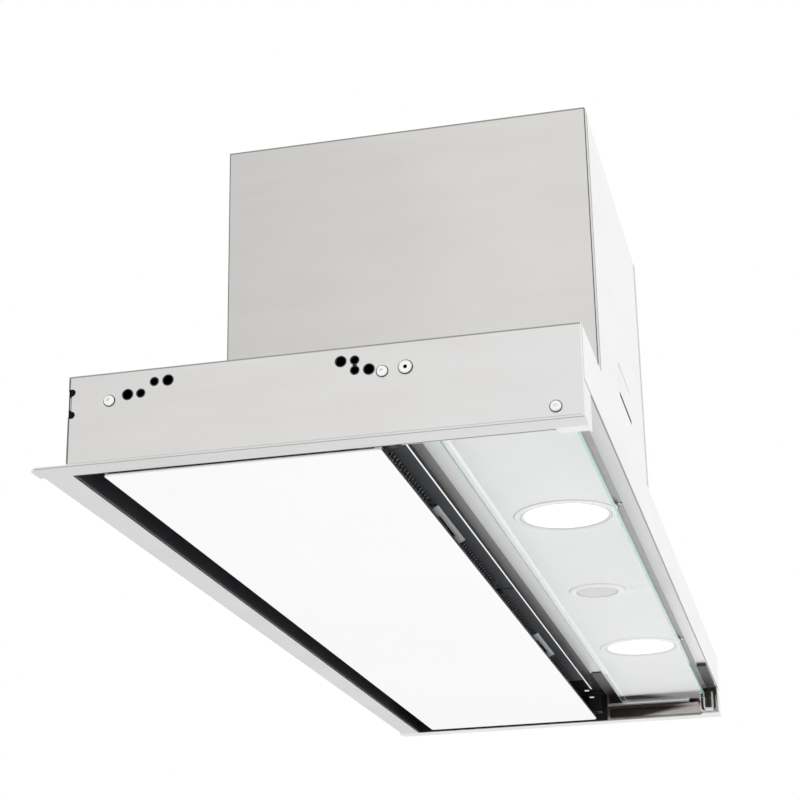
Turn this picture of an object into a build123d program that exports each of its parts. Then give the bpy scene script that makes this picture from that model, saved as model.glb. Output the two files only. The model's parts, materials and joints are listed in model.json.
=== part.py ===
from build123d import *
from math import acos, cos, degrees, radians, sin
import os

# Built-in range hood, millimetres.
# +X runs along the hood, +Y from the front to the wall side, +Z up.
# The origin is the middle of the underside of the whole hood.

# Lower body
BODY_LENGTH = 886.0
BODY_DEPTH = 300.0
BODY_HEIGHT = 57.0
SHEET = 1.0
BEND = 1.4
FLANGE = 7.0
FLANGE_SETBACK = 15.0
SEAM = 0.5

# Trim strips round the underside
TRIM_THICKNESS = 1.2
TRIM_BACK = 17.5
TRIM_OUT = 6.0
TRIM_IN = 10.0
TRIM_TAIL = 2.5
TRIM_LIP = 2.8
TRIM_LEG = 8.8
TRIM_CORNER = 18.0
TRIM_ROUND = 4.0
TRIM_CUT = 3.5
TRIM_GAP = 0.3

# Front plate, its inward fold and the lanced tab
SOFFIT_HEIGHT = 24.0
SOFFIT_DEPTH = 10.0
FRONT_RETURN = 24.0
TAB_START = 102.5
TAB_LENGTH = 58.0
TAB_HEIGHT = 19.0
TAB_LIFT = 21.0
TAB_SLIT = 0.8
TAB_MOUTH = 1.8

# Motor box on top of the lower body
BOX_OFFSET = 68.5
BOX_LENGTH = 249.0
BOX_DEPTH = 228.0
BOX_HEIGHT = 170.0
BOX_RETURN = 9.0
INLET_MARGIN = 13.0

# Partition between the suction side and the lamp side
PARTITION_SETBACK = 108.0
PARTITION_BOTTOM = 8.0
PARTITION_CUT = 130.0
HEM_HEIGHT = 6.0
HEM_THICKNESS = 2.4
HEM_ROUND = 0.9

# Lamp plate
STEP_SETBACK = 15.4
BAND_SETBACK = 4.0
BAND_SCREW_SPREAD = 205.0
PLATE_LIP = 2.5
NOTCH_DEPTH = 11.0
COVER_GAP = 0.5
COVER_OVERLAP = 4.5
COVER_THICKNESS = 1.2

# Lamps, the round switch and the receiver window
LAMP_SPREAD = 204.0
LAMP_SETBACK = 48.2
LAMP_TRIM_RADIUS = 33.7
LAMP_WINDOW_RADIUS = 28.5
LAMP_TRIM_THICKNESS = 2.0
LAMP_LEDGE = 0.8
LENS_THICKNESS = 2.0
LENS_MARGIN = 0.7
LENS_CLEARANCE = 0.1
SLEEVE_WALL = 1.0
SLEEVE_HEIGHT = 4.0
HOLE_CLEARANCE = 0.2
CAN_CLEARANCE = 0.2
CAN_WALL = 1.2
CAN_HEIGHT = 18.0
LUG_REACH = 8.0
LUG_HALF = 6.0
FIN_COUNT = 7
FIN_PITCH = 8.0
FIN_HEIGHT = 8.0
FIN_THICKNESS = 1.6
SWITCH_SETBACK = 56.7
SWITCH_RADIUS = 21.0
BUTTON_RADIUS = 15.0
BUTTON_THICKNESS = 4.0
BUTTON_DISH = 1.2
DISH_SHARE = 0.7
BUTTON_GAP = 0.4
BUTTON_SINK = 0.6
BUTTON_TRAVEL = 1.5
BUTTON_STEM = 3.6
BEZEL_WALL = 2.4
BEZEL_DEPTH = 8.0
WINDOW_SETBACK = 25.5
WINDOW_RADIUS = 3.6
WINDOW_STEM = 2.4

# Sliding glass visor and its guides
GLASS_THICKNESS = 4.0
GLASS_EDGE = 0.4
VISOR_HEIGHT = 11.8
VISOR_SETBACK = 11.6
VISOR_REAR_GAP = 17.0
VISOR_END_GAP = 3.0
VISOR_NOTCH_DEPTH = 18.0
VISOR_NOTCH_GAP = 0.6
RUNNER_THICKNESS = 1.5
RUNNER_WIDTH = 11.0
RUNNER_GAP = 1.0
RUNNER_SETBACK = 28.0
RUNNER_JOGGLE = 2.4
RUNNER_LAP = 5.0
RUNNER_BEND = 1.2
TAIL_REACH = 14.0
TAIL_LAP = 16.0
TAIL_GAP = 2.0
HOOK_WIDTH = 8.0
HOOK_SPAN = 7.6
HOOK_SETBACK = 4.2
HOOK_TOP = 17.0
HOOK_BOTTOM = 0.6
GUIDE_INSET = 5.0
GUIDE_REAR_GAP = 0.3
GUIDE_WINDOW = 15.4
GUIDE_WINDOW_SETBACK = 2.6
GUIDE_WINDOW_BOTTOM = 2.5
GUIDE_WINDOW_TOP = 17.0
GUIDE_WINDOW_CUT = 3.5
RIB_GAP = 0.6
RIB_THICKNESS = 1.4
RIB_CLEARANCE = 0.4
SENSOR_LENGTH = 91.0
SENSOR_DEPTH = 8.6
SENSOR_THICKNESS = 2.5
SENSOR_GAP = 6.0
SENSOR_ROUND = 4.0

# Hanging glass panel under the filters
PANEL_END_GAP = 8.0
PANEL_FRONT_GAP = 10.1
PANEL_REAR_GAP = 15.0
PANEL_LIFT = 0.5
PANEL_GLASS = 4.0
TRAY_INSET = 8.0
TRAY_LIP = 3.0
HINGE_INSET = 82.0
HINGE_MARGIN = 1.0
HINGE_RISE = 1.4
PIN_RADIUS = 2.0
PIN_CLEARANCE = 0.05
KNUCKLE_RADIUS = 3.6
KNUCKLE_HALF = 7.0
HINGE_FOOT = 10.0
EAR_THICKNESS = 3.0
EAR_GAP = 0.4
EAR_REACH = 18.0
EAR_SLOPE = 20.0
CATCH_INSET = 8.0
CATCH_HALF = 6.0
CATCH_SETBACK = 3.0
CATCH_DEPTH = 13.0
CATCH_GAP = 0.3
CATCH_FOOT = 6.0
STRIKER_THICKNESS = 1.0
STRIKER_DEPTH = 6.5
STRIKER_MARGIN = 1.0

# Filters and their carrier
SKIRT_INSET = 1.4
SKIRT_BOTTOM = 0.4
CARRIER_FLANGE = 12.0
CARRIER_TAB = 4.2
FILTER_LENGTH = 361.0
FILTER_GAP = 1.0
FILTER_FRONT_GAP = 1.5
FILTER_REAR_GAP = 10.0
FILTER_HEIGHT = 10.0
FILTER_BORDER = 19.8
FILTER_EDGE = 15.0
LEDGE_FRONT = 2.5
LEDGE_END = 5.0
LEDGE_REAR = 14.0
MESH_THICKNESS = 6.0
MESH_CLEARANCE = 0.2
LATCH_LENGTH = 92.0
LATCH_WIDTH = 22.0
LATCH_HEIGHT = 5.0
LATCH_SINK = 0.3
LATCH_SHIFT = 10.0
LATCH_SETBACK = 19.8
LATCH_BAR = 3.4
LATCH_RIM = 4.0
LATCH_TRAVEL = 5.0
LATCH_CLEARANCE = 0.4
LATCH_WELL = 12.0
LATCH_GRIP = 27.0
TONGUE_HALF = 15.0
TONGUE_THICKNESS = 1.5
TONGUE_BITE = 1.5

# Blower
SCROLL_INSIDE = 62.0
SCROLL_OUTSIDE = 85.0
SCROLL_SWEEP = 285.0
SCROLL_ARCS = 6
SCROLL_WALL = 1.6
SCROLL_WIDTH = 96.0
SCROLL_REAR_GAP = 9.9
SCROLL_FLOOR_GAP = 3.7
TONGUE_ANGLE = 105.0
BELL_REACH = 4.0
BELL_WALL = 3.0
MOUTH_MARGIN = 3.5
BOLT_INSET = 8.0
FAN_GAP = 7.0
FAN_SIDE_GAP = 6.0
BLADE_COUNT = 32
BLADE_DEPTH = 11.0
BLADE_THICKNESS = 1.2
BLADE_ANGLE = 20.0
FAN_RING = 1.5
FAN_DISC = 2.0
DISC_OVERLAP = 2.0
INLET_STEP = 2.0
HUB_RADIUS = 9.0
HUB_LENGTH = 15.0
SHAFT_RADIUS = 4.0
SHAFT_CLEARANCE = 0.05
SHAFT_DEPTH = 18.0
MOTOR_RADIUS = 31.0
MOTOR_GAP = 3.0
MOTOR_STEP = 6.0
BRACKET_THICKNESS = 2.0
BRACKET_HUB = 20.0
ARM_COUNT = 3
ARM_WIDTH = 12.0
CAPACITOR_RADIUS = 14.0
CAPACITOR_LENGTH = 48.0
CAPACITOR_SETBACK = 34.0
CAPACITOR_DROP = 30.0

# Duct collar and its flaps
COLLAR_RADIUS = 62.5
COLLAR_WALL = 1.5
COLLAR_HEIGHT = 32.0
COLLAR_RIM = 9.5
COLLAR_RIM_THICKNESS = 1.5
FLAP_HEIGHT = 10.0
FLAP_THICKNESS = 1.2
FLAP_CLEARANCE = 1.0
FLAP_SEAT = 2.5
FLAP_SEAT_THICKNESS = 1.5
FLAP_SEAT_GAP = 0.3
FLAP_PIN = 1.5
FLAP_KNUCKLE = 2.6
FLAP_AXIS_GAP = 0.6
FLAP_INNER_KNUCKLE = 18.0
FLAP_OUTER_KNUCKLE = 50.0
FLAP_END_GAP = 2.0

# Electronics
CONTROL_LENGTH = 160.0
CONTROL_DEPTH = 100.0
CONTROL_HEIGHT = 38.0
CONTROL_WALL = 2.0
CONTROL_GAP = 185.0
CONTROL_REAR_GAP = 70.0
BOARD_THICKNESS = 1.6
BOARD_MARGIN = 12.0
BOARD_LIFT = 8.0
POST_RADIUS = 3.0
POST_INSET = 6.0
TERMINAL_LENGTH = 16.0
TERMINAL_DEPTH = 50.0
TERMINAL_HEIGHT = 13.0
GLAND_RADIUS = 9.0
GLAND_BORE = 4.0
GLAND_BODY = 6.8
GLAND_CLEARANCE = 0.2
GLAND_LENGTH = 14.0
GLAND_DROP = 14.0

# Screws, rivet nuts and holes in the end panels
# Each place is a depth from the front and a height; the rear ones keep to the wall side
SCREW_PLACES = [(BODY_DEPTH - 25.2, 39.8), (112.8, 40.4), (16.1, 9.5)]
LOWER_HOLES = [(BODY_DEPTH - 36.3, 42.5), (120.4, 42.5)]
UPPER_HOLES = [(BODY_DEPTH - 60.7, 48.8), (136.7, 48.8)]
SMALL_HOLES = [(BODY_DEPTH - 44.3, 42.5), (BODY_DEPTH - 52.4, 48.8)]
NECK_HEIGHTS = (48.8, 42.7)
NUT_PLACE = (99.4, 41.5)
NOTCH_HEIGHTS = (47.0, 33.3)
NOTCH_SETBACK = 2.0
NOTCH_WIDTH = 2.0
NECK_DEPTH = 128.6
NECK_WIDTH = 2.4
WALL_HOLE_RADIUS = 2.9
SMALL_HOLE_RADIUS = 2.25
SCREW_HEAD_RADIUS = 3.2
SCREW_HEAD_HEIGHT = 1.6
BAND_HEAD_RADIUS = 2.5
SCREW_RADIUS = 1.9
SCREW_CLEARANCE = 0.1
SCREW_LENGTH = 6.0
NUT_RADIUS = 3.0
NUT_FLANGE_RADIUS = 3.9
NUT_FLANGE_THICKNESS = 0.8
NUT_BORE_RADIUS = 1.65
NUT_LENGTH = 9.0

# Planes and edges worked out from the sizes above
FRONT = -(BODY_DEPTH + TRIM_BACK + TRIM_TAIL) / 2
BACK = FRONT + BODY_DEPTH
END = BODY_LENGTH / 2
INNER_END = END - SHEET
CAVITY_END = INNER_END - SHEET
PLATE_END = CAVITY_END - SHEET
OPENING_END = END - TRIM_IN
TRIM_TOP = TRIM_THICKNESS + TRIM_GAP
FRONT_INNER = FRONT + SHEET
BACK_INNER = BACK - SHEET
TOP_INNER = BODY_HEIGHT - SHEET
BOX_LEFT = BOX_OFFSET - END
BOX_RIGHT = BOX_LEFT + BOX_LENGTH
BOX_MID = (BOX_LEFT + BOX_RIGHT) / 2
BOX_BACK = FRONT + BOX_DEPTH
BOX_TOP = BODY_HEIGHT + BOX_HEIGHT
PARTITION_FRONT = FRONT + PARTITION_SETBACK
PARTITION_REAR = PARTITION_FRONT + SHEET
PLATE_BOTTOM = SOFFIT_HEIGHT - SHEET
BAND_BOTTOM = SOFFIT_HEIGHT + SHEET
CARRIER_BOTTOM = SOFFIT_HEIGHT + SHEET
FILTER_BOTTOM = CARRIER_BOTTOM + SHEET
LAMP_Y = FRONT + LAMP_SETBACK
SLEEVE_BORE = LAMP_WINDOW_RADIUS + LENS_MARGIN + LENS_CLEARANCE
SLEEVE_OUTER = SLEEVE_BORE + SLEEVE_WALL
BEZEL_BORE = BUTTON_RADIUS + BUTTON_GAP
WEB_INNER = OPENING_END - GUIDE_INSET - SHEET
VISOR_HALF = END - FRONT_RETURN - VISOR_END_GAP
VISOR_FRONT = FRONT + VISOR_SETBACK
VISOR_BACK = PARTITION_FRONT - VISOR_REAR_GAP
RUNNER_OUTER = END - FRONT_RETURN - RUNNER_GAP
RUNNER_INNER = RUNNER_OUTER - RUNNER_WIDTH
PANEL_HALF = OPENING_END - PANEL_END_GAP
PANEL_FRONT = PARTITION_REAR + PANEL_FRONT_GAP
PANEL_BACK = BACK - PANEL_REAR_GAP
PANEL_TOP = PANEL_LIFT + PANEL_GLASS
HINGE_X = PANEL_HALF - HINGE_INSET
HINGE_Y = PANEL_BACK - HINGE_MARGIN
HINGE_Z = PANEL_TOP + HINGE_RISE + KNUCKLE_RADIUS
CATCH_X = PANEL_HALF - CATCH_INSET
FILTER_RIGHT = -FILTER_GAP / 2
FILTER_LEFT = FILTER_RIGHT - FILTER_LENGTH
FILTER_FRONT = PARTITION_REAR + FILTER_FRONT_GAP
FILTER_BACK = BACK - FILTER_REAR_GAP
LATCH_X = (FILTER_LEFT + FILTER_RIGHT) / 2 - LATCH_SHIFT
LATCH_FRONT = FILTER_FRONT + LATCH_SETBACK
LATCH_BACK = LATCH_FRONT + LATCH_WIDTH
RIM_BACK = LATCH_BACK + LATCH_RIM + LATCH_TRAVEL + LATCH_CLEARANCE + SHEET
TONGUE_BOTTOM = FILTER_BOTTOM + SHEET + LATCH_CLEARANCE
TONGUE_TOP = TONGUE_BOTTOM + TONGUE_THICKNESS


def scroll_radius(angle):
    # The scroll grows evenly from its tongue to the front of its throat
    return SCROLL_INSIDE + (SCROLL_OUTSIDE - SCROLL_INSIDE) * (TONGUE_ANGLE - angle) / SCROLL_SWEEP


AXIS_Y = BOX_BACK - SHEET - SCROLL_REAR_GAP - SCROLL_WALL - scroll_radius(0)
AXIS_Z = BODY_HEIGHT + SCROLL_FLOOR_GAP + SCROLL_WALL + scroll_radius(-90)
THROAT_FRONT = AXIS_Y - SCROLL_OUTSIDE
THROAT_BACK = AXIS_Y + SCROLL_INSIDE * cos(radians(TONGUE_ANGLE))
COLLAR_Y = (THROAT_FRONT + THROAT_BACK) / 2
FAN_RADIUS = SCROLL_INSIDE - FAN_GAP
FAN_BORE = FAN_RADIUS - BLADE_DEPTH
FAN_HALF = SCROLL_WIDTH / 2 - FAN_SIDE_GAP
INLET_RADIUS = FAN_BORE + INLET_STEP
BELL_END = SCROLL_WIDTH / 2 + SCROLL_WALL + BELL_REACH
MOUTH_HALF = COLLAR_RADIUS + MOUTH_MARGIN
BOLT_OFFSET = MOUTH_HALF - BOLT_INSET
FAN_PLANE = Plane(origin=(BOX_MID, AXIS_Y, AXIS_Z), x_dir=(0, 1, 0), z_dir=(1, 0, 0))
FLAP_Z = BOX_TOP + FLAP_HEIGHT
FLAP_CUT = FLAP_KNUCKLE + FLAP_AXIS_GAP
CONTROL_LEFT = BOX_RIGHT + CONTROL_GAP
CONTROL_RIGHT = CONTROL_LEFT + CONTROL_LENGTH
CONTROL_BACK = BACK - CONTROL_REAR_GAP
CONTROL_FRONT = CONTROL_BACK - CONTROL_DEPTH
CONTROL_TOP = BODY_HEIGHT + CONTROL_HEIGHT

ALONG_X = (0, 90, 0)
UPRIGHT = (0, 0, 0)
THROUGH = 4 * SHEET

os.makedirs("parts", exist_ok=True)


def keep(piece, name):
    piece.part.label = name
    export_step(piece.part, f"parts/{name}.step")


def keep_pair(piece, name):
    # The piece is the left one, and its mirror image is the right one
    keep(piece, f"left_{name}")
    with BuildPart() as twin:
        add(mirror(piece.part, about=Plane.YZ))
    keep(twin, f"right_{name}")


def block(x, y, z, mode=Mode.ADD):
    # A box between two limits on each axis
    x, y, z = sorted(x), sorted(y), sorted(z)
    middle = ((x[0] + x[1]) / 2, (y[0] + y[1]) / 2, (z[0] + z[1]) / 2)
    with Locations(middle):
        Box(x[1] - x[0], y[1] - y[0], z[1] - z[0], mode=mode)


def rod(centre, radius, length, turn=UPRIGHT, mode=Mode.ADD):
    with Locations(Location(centre, turn)):
        Cylinder(radius, length, mode=mode)


def hole(centre, radius, length, turn=UPRIGHT):
    rod(centre, radius, length, turn, Mode.SUBTRACT)


def turned(x, y, points):
    # Radius and height pairs, turned about the upright axis at x and y
    plane = Plane(origin=(x, y, 0), x_dir=(1, 0, 0), z_dir=(0, -1, 0))
    with BuildSketch(plane) as section:
        with BuildLine():
            Polyline(*points, close=True)
        make_face()
    revolve(section.sketch, axis=Axis((x, y, 0), (0, 0, 1)))


def screw(head, direction, radius, length):
    # A pan head under the point, with its shank along the direction
    axis = Vector(*direction)
    turn = ALONG_X if direction[0] else UPRIGHT
    rod(tuple(Vector(*head) - axis * SCREW_HEAD_HEIGHT / 2), radius, SCREW_HEAD_HEIGHT, turn)
    rod(tuple(Vector(*head) + axis * length / 2), SCREW_RADIUS, length, turn)


# Trim strips

with BuildPart() as back_trim_strip:
    block((-OPENING_END, OPENING_END), (BACK, BACK + TRIM_BACK), (0, TRIM_THICKNESS))
    block((-OPENING_END, OPENING_END), (BACK, BACK + SHEET), (0, TRIM_THICKNESS + TRIM_LEG))
    lower_edges = back_trim_strip.edges().filter_by(Axis.X).group_by(Axis.Z)[0]
    fillet(lower_edges.sort_by(Axis.Y)[-1], radius=TRIM_THICKNESS / 2)
keep(back_trim_strip, "back_trim_strip")

with BuildPart() as trim_strip:
    trim_back = BACK + TRIM_BACK + TRIM_TAIL
    with BuildSketch():
        with BuildLine():
            Polyline(
                (-END - TRIM_OUT, FRONT),
                (-END + TRIM_CORNER, FRONT),
                (-END + TRIM_CORNER, FRONT + TRIM_CORNER),
                (-OPENING_END, FRONT + TRIM_CORNER),
                (-OPENING_END, trim_back),
                (-END - TRIM_OUT, trim_back),
                close=True,
            )
        make_face()
    extrude(amount=TRIM_THICKNESS)
    back_corners = trim_strip.edges().filter_by(Axis.Z).sort_by(Axis.Y)[-2:]
    chamfer(back_corners.sort_by(Axis.X)[0], length=TRIM_CUT)
    tab_corners = trim_strip.edges().filter_by(Axis.Z).sort_by(Axis.X)[-2:]
    fillet(tab_corners.sort_by(Axis.Y)[-1], radius=TRIM_ROUND)
    lip_y = (FRONT + TRIM_CORNER, BACK_INNER)
    block((-OPENING_END - SHEET, -OPENING_END), lip_y, (0, TRIM_THICKNESS + TRIM_LIP))
keep_pair(trim_strip, "trim_strip")

# Sheet metal of the lower body

with BuildPart() as end_panel:
    block((-END, -INNER_END), (FRONT, BACK), (TRIM_THICKNESS, BODY_HEIGHT))
    return_z = (TRIM_THICKNESS, SOFFIT_HEIGHT - SEAM)
    block((-INNER_END, -END + FRONT_RETURN), (FRONT, FRONT_INNER), return_z)
    flange_x = (-INNER_END, -INNER_END + FLANGE)
    flange_z = (TOP_INNER - SHEET, TOP_INNER)
    block(flange_x, (FRONT + FLANGE_SETBACK, PARTITION_FRONT - SEAM), flange_z)
    block(flange_x, (PARTITION_REAR + FLANGE + SEAM, BACK - FLANGE_SETBACK), flange_z)
    block(flange_x, (BACK_INNER - SHEET, BACK_INNER), (FILTER_BOTTOM + SEAM, flange_z[0]))
    for depth, height in LOWER_HOLES + UPPER_HOLES:
        hole((-END, FRONT + depth, height), WALL_HOLE_RADIUS, THROUGH, ALONG_X)
    for depth, height in SMALL_HOLES:
        hole((-END, FRONT + depth, height), SMALL_HOLE_RADIUS, THROUGH, ALONG_X)
    for depth, height in SCREW_PLACES:
        hole((-END, FRONT + depth, height), SCREW_RADIUS + SCREW_CLEARANCE, THROUGH, ALONG_X)
    hole((-END, FRONT + NUT_PLACE[0], NUT_PLACE[1]), NUT_RADIUS, THROUGH, ALONG_X)
    for height in NOTCH_HEIGHTS:
        hole((-END, BACK - NOTCH_SETBACK, height), SMALL_HOLE_RADIUS, THROUGH, ALONG_X)
    notch_x = (-END - SHEET, -CAVITY_END)
    block(notch_x, (BACK - NOTCH_WIDTH, BACK + SHEET), NOTCH_HEIGHTS, Mode.SUBTRACT)
    for height in NECK_HEIGHTS:
        hole((-END, FRONT + NECK_DEPTH, height), SMALL_HOLE_RADIUS, THROUGH, ALONG_X)
    neck_y = (FRONT + NECK_DEPTH - NECK_WIDTH / 2, FRONT + NECK_DEPTH + NECK_WIDTH / 2)
    block(notch_x, neck_y, NECK_HEIGHTS, Mode.SUBTRACT)
keep_pair(end_panel, "end_panel")

with BuildPart() as back_panel:
    block((-INNER_END, INNER_END), (BACK_INNER, BACK), (TRIM_TOP, BODY_HEIGHT))
keep(back_panel, "back_panel")

with BuildPart() as top_plate:
    plate_z = (TOP_INNER, BODY_HEIGHT)
    block((-INNER_END, INNER_END), (FRONT_INNER, BACK_INNER), plate_z)
    inlet_x = (BOX_LEFT + INLET_MARGIN, BOX_RIGHT - INLET_MARGIN)
    inlet_y = (PARTITION_REAR + FLANGE, BOX_BACK - INLET_MARGIN)
    block(inlet_x, inlet_y, plate_z, Mode.SUBTRACT)
keep(top_plate, "top_plate")

with BuildPart() as front_plate:
    with BuildSketch(Plane.YZ.offset(-INNER_END)):
        with BuildLine():
            FilletPolyline(
                (FRONT + SHEET / 2, BODY_HEIGHT),
                (FRONT + SHEET / 2, SOFFIT_HEIGHT + SHEET / 2),
                (FRONT + SOFFIT_DEPTH, SOFFIT_HEIGHT + SHEET / 2),
                radius=BEND,
            )
        trace(line_width=SHEET)
    extrude(amount=2 * INNER_END)
    upper_x = (BOX_LEFT + BOX_RETURN + SEAM, BOX_RIGHT - BOX_RETURN - SEAM)
    block(upper_x, (FRONT, FRONT_INNER), (BODY_HEIGHT, BOX_TOP))
    tab_left = BOX_LEFT + TAB_START
    tab_bottom = BODY_HEIGHT + TAB_LIFT
    tab_top = tab_bottom + TAB_HEIGHT
    tab_x = (tab_left, tab_left + TAB_LENGTH)
    slit_y = (FRONT - SHEET, FRONT_INNER + SHEET)
    slit_z = (tab_bottom - TAB_MOUTH, tab_top + TAB_SLIT)
    block(tab_x, slit_y, (tab_bottom - TAB_MOUTH, tab_bottom), Mode.SUBTRACT)
    block(tab_x, slit_y, (tab_top, tab_top + TAB_SLIT), Mode.SUBTRACT)
    block((tab_left - TAB_SLIT, tab_left), slit_y, slit_z, Mode.SUBTRACT)
keep(front_plate, "front_plate")

# Motor box

with BuildPart() as motor_box_shell:
    with BuildSketch(Plane.XY.offset(BODY_HEIGHT)):
        with BuildLine():
            FilletPolyline(
                (BOX_LEFT + BOX_RETURN, FRONT + SHEET / 2),
                (BOX_LEFT + SHEET / 2, FRONT + SHEET / 2),
                (BOX_LEFT + SHEET / 2, BOX_BACK - SHEET / 2),
                (BOX_RIGHT - SHEET / 2, BOX_BACK - SHEET / 2),
                (BOX_RIGHT - SHEET / 2, FRONT + SHEET / 2),
                (BOX_RIGHT - BOX_RETURN, FRONT + SHEET / 2),
                radius=BEND / 2,
            )
        trace(line_width=SHEET)
    extrude(amount=BOX_HEIGHT)
keep(motor_box_shell, "motor_box_shell")

with BuildPart() as motor_box_top:
    lid_x = (BOX_LEFT + SHEET, BOX_RIGHT - SHEET)
    lid_y = (FRONT_INNER, BOX_BACK - SHEET)
    lid_z = (BOX_TOP - SHEET, BOX_TOP)
    block(lid_x, lid_y, lid_z)
    lid_flange_y = (lid_y[0] + FLANGE, lid_y[1] - FLANGE)
    for x, inward in zip(lid_x, (1, -1)):
        block((x, x + inward * SHEET), lid_flange_y, (lid_z[0] - FLANGE, lid_z[0]))
        for y, back in zip(lid_y, (1, -1)):
            block((x, x + inward * 2 * SHEET), (y, y + back * 2 * SHEET), lid_z, Mode.SUBTRACT)
            bolt_place = (BOX_MID + inward * BOLT_OFFSET, COLLAR_Y + back * BOLT_OFFSET, BOX_TOP)
            hole(bolt_place, SCREW_RADIUS + SCREW_CLEARANCE, THROUGH)
    hole((BOX_MID, COLLAR_Y, BOX_TOP), COLLAR_RADIUS - COLLAR_WALL, THROUGH)
keep(motor_box_top, "motor_box_top")

# Partition with a closed hem along its lower edge and slots for the latch tongues

with BuildPart() as partition_wall:
    cut_x = END - PARTITION_CUT
    wall_y = (PARTITION_FRONT, PARTITION_REAR)
    hem_top = PARTITION_BOTTOM + HEM_HEIGHT
    block((-PLATE_END, cut_x), wall_y, (PARTITION_BOTTOM + HEM_ROUND, TOP_INNER))
    block((cut_x, PLATE_END), wall_y, (CARRIER_BOTTOM, TOP_INNER))
    fold_y = (PARTITION_REAR, PARTITION_REAR + FLANGE)
    block((-PLATE_END, PLATE_END), fold_y, (TOP_INNER - SHEET, TOP_INNER))
    hem_y = (PARTITION_REAR - HEM_THICKNESS, PARTITION_REAR)
    block((-PLATE_END, cut_x), hem_y, (PARTITION_BOTTOM, hem_top))
    hem_edges = partition_wall.edges().filter_by(Axis.X).group_by(Axis.Z)[0]
    fillet(hem_edges, radius=HEM_ROUND)
    slot_half = TONGUE_HALF + LATCH_CLEARANCE
    slot_z = (TONGUE_BOTTOM - LATCH_CLEARANCE, TONGUE_TOP + LATCH_CLEARANCE)
    for x in (LATCH_X, -LATCH_X):
        slot_x = (x - slot_half, x + slot_half)
        block(slot_x, (PARTITION_FRONT - SHEET, PARTITION_REAR + SHEET), slot_z, Mode.SUBTRACT)
keep(partition_wall, "partition_wall")

# Lamp plate: a raised front band, and a notch at its right rear corner

with BuildPart() as lamp_plate:
    plate_x = (-PLATE_END, PLATE_END)
    plate_top = PLATE_BOTTOM + SHEET
    step_y = FRONT + STEP_SETBACK
    block(plate_x, (step_y, PARTITION_FRONT), (PLATE_BOTTOM, plate_top))
    block(plate_x, (step_y, step_y + SHEET), (PLATE_BOTTOM, BAND_BOTTOM + SHEET))
    block(plate_x, (FRONT + BAND_SETBACK, step_y), (BAND_BOTTOM, BAND_BOTTOM + SHEET))
    lip_z = (PLATE_BOTTOM, plate_top + PLATE_LIP)
    block(plate_x, (PARTITION_FRONT - SHEET, PARTITION_FRONT), lip_z)
    notch_y = (PARTITION_FRONT - NOTCH_DEPTH, PARTITION_FRONT + SHEET)
    notch_z = (PLATE_BOTTOM - SHEET, plate_top + PLATE_LIP + SHEET)
    block((END - PARTITION_CUT, END), notch_y, notch_z, Mode.SUBTRACT)
    for side in (-1, 1):
        lamp_centre = (side * LAMP_SPREAD, LAMP_Y, PLATE_BOTTOM)
        hole(lamp_centre, SLEEVE_OUTER + HOLE_CLEARANCE, THROUGH)
        screw_y = step_y - BAND_HEAD_RADIUS - HOLE_CLEARANCE
        screw_hole = (side * BAND_SCREW_SPREAD, screw_y, BAND_BOTTOM)
        hole(screw_hole, SCREW_RADIUS + SCREW_CLEARANCE, THROUGH)
    switch_centre = (0, FRONT + SWITCH_SETBACK, PLATE_BOTTOM)
    hole(switch_centre, BEZEL_BORE + BEZEL_WALL + HOLE_CLEARANCE, THROUGH)
    window_centre = (0, FRONT + WINDOW_SETBACK, PLATE_BOTTOM)
    hole(window_centre, WINDOW_STEM + HOLE_CLEARANCE, THROUGH)
keep(lamp_plate, "lamp_plate")

with BuildPart() as corner_cover:
    cover_left = END - PARTITION_CUT - COVER_OVERLAP
    cover_x = (cover_left, WEB_INNER - COVER_GAP)
    cover_y = (PARTITION_FRONT - NOTCH_DEPTH - COVER_OVERLAP, hem_y[0] - GUIDE_REAR_GAP)
    block(cover_x, cover_y, (PLATE_BOTTOM - COVER_THICKNESS, PLATE_BOTTOM))
    fillet(corner_cover.edges().filter_by(Axis.Z), radius=2 * SHEET)
keep(corner_cover, "corner_cover")

# Guides for the visor, one at each end

with BuildPart() as guide_bracket:
    guide_y = (FRONT_INNER, hem_y[0] - GUIDE_REAR_GAP)
    web_x = (-WEB_INNER - SHEET, -WEB_INNER)
    guide_shelf = PLATE_BOTTOM - SHEET
    block(web_x, guide_y, (TRIM_TOP, PLATE_BOTTOM))
    block((-INNER_END, web_x[1]), guide_y, (guide_shelf, PLATE_BOTTOM))
    block((-INNER_END, -CAVITY_END), guide_y, (TRIM_TOP, PLATE_BOTTOM))
    rib_x = (-VISOR_HALF - RIB_GAP, web_x[1])
    rib_y = (FRONT + GUIDE_WINDOW_SETBACK + GUIDE_WINDOW + SHEET, guide_y[1])
    lower_rib = VISOR_HEIGHT - RUNNER_THICKNESS - RIB_CLEARANCE
    upper_rib = VISOR_HEIGHT + RIB_CLEARANCE
    block(rib_x, rib_y, (lower_rib - RIB_THICKNESS, lower_rib))
    block(rib_x, rib_y, (upper_rib, upper_rib + RIB_THICKNESS))
    window_y = FRONT + GUIDE_WINDOW_SETBACK
    window_middle = (window_y + GUIDE_WINDOW / 2, (GUIDE_WINDOW_BOTTOM + GUIDE_WINDOW_TOP) / 2)
    with BuildSketch(Plane.YZ.offset(web_x[0] - SHEET)) as window:
        with Locations(window_middle):
            Rectangle(GUIDE_WINDOW, GUIDE_WINDOW_TOP - GUIDE_WINDOW_BOTTOM)
        chamfer(window.vertices(), length=GUIDE_WINDOW_CUT)
    extrude(amount=3 * SHEET, mode=Mode.SUBTRACT)
    for depth, height in SCREW_PLACES:
        if height < guide_shelf:
            leg_hole = (-CAVITY_END, FRONT + depth, height)
            hole(leg_hole, SCREW_RADIUS + SCREW_CLEARANCE, THROUGH, ALONG_X)
keep_pair(guide_bracket, "guide_bracket")

# Sliding visor: the glass lies on a runner at each end, and the right one ends in a hook

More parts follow.
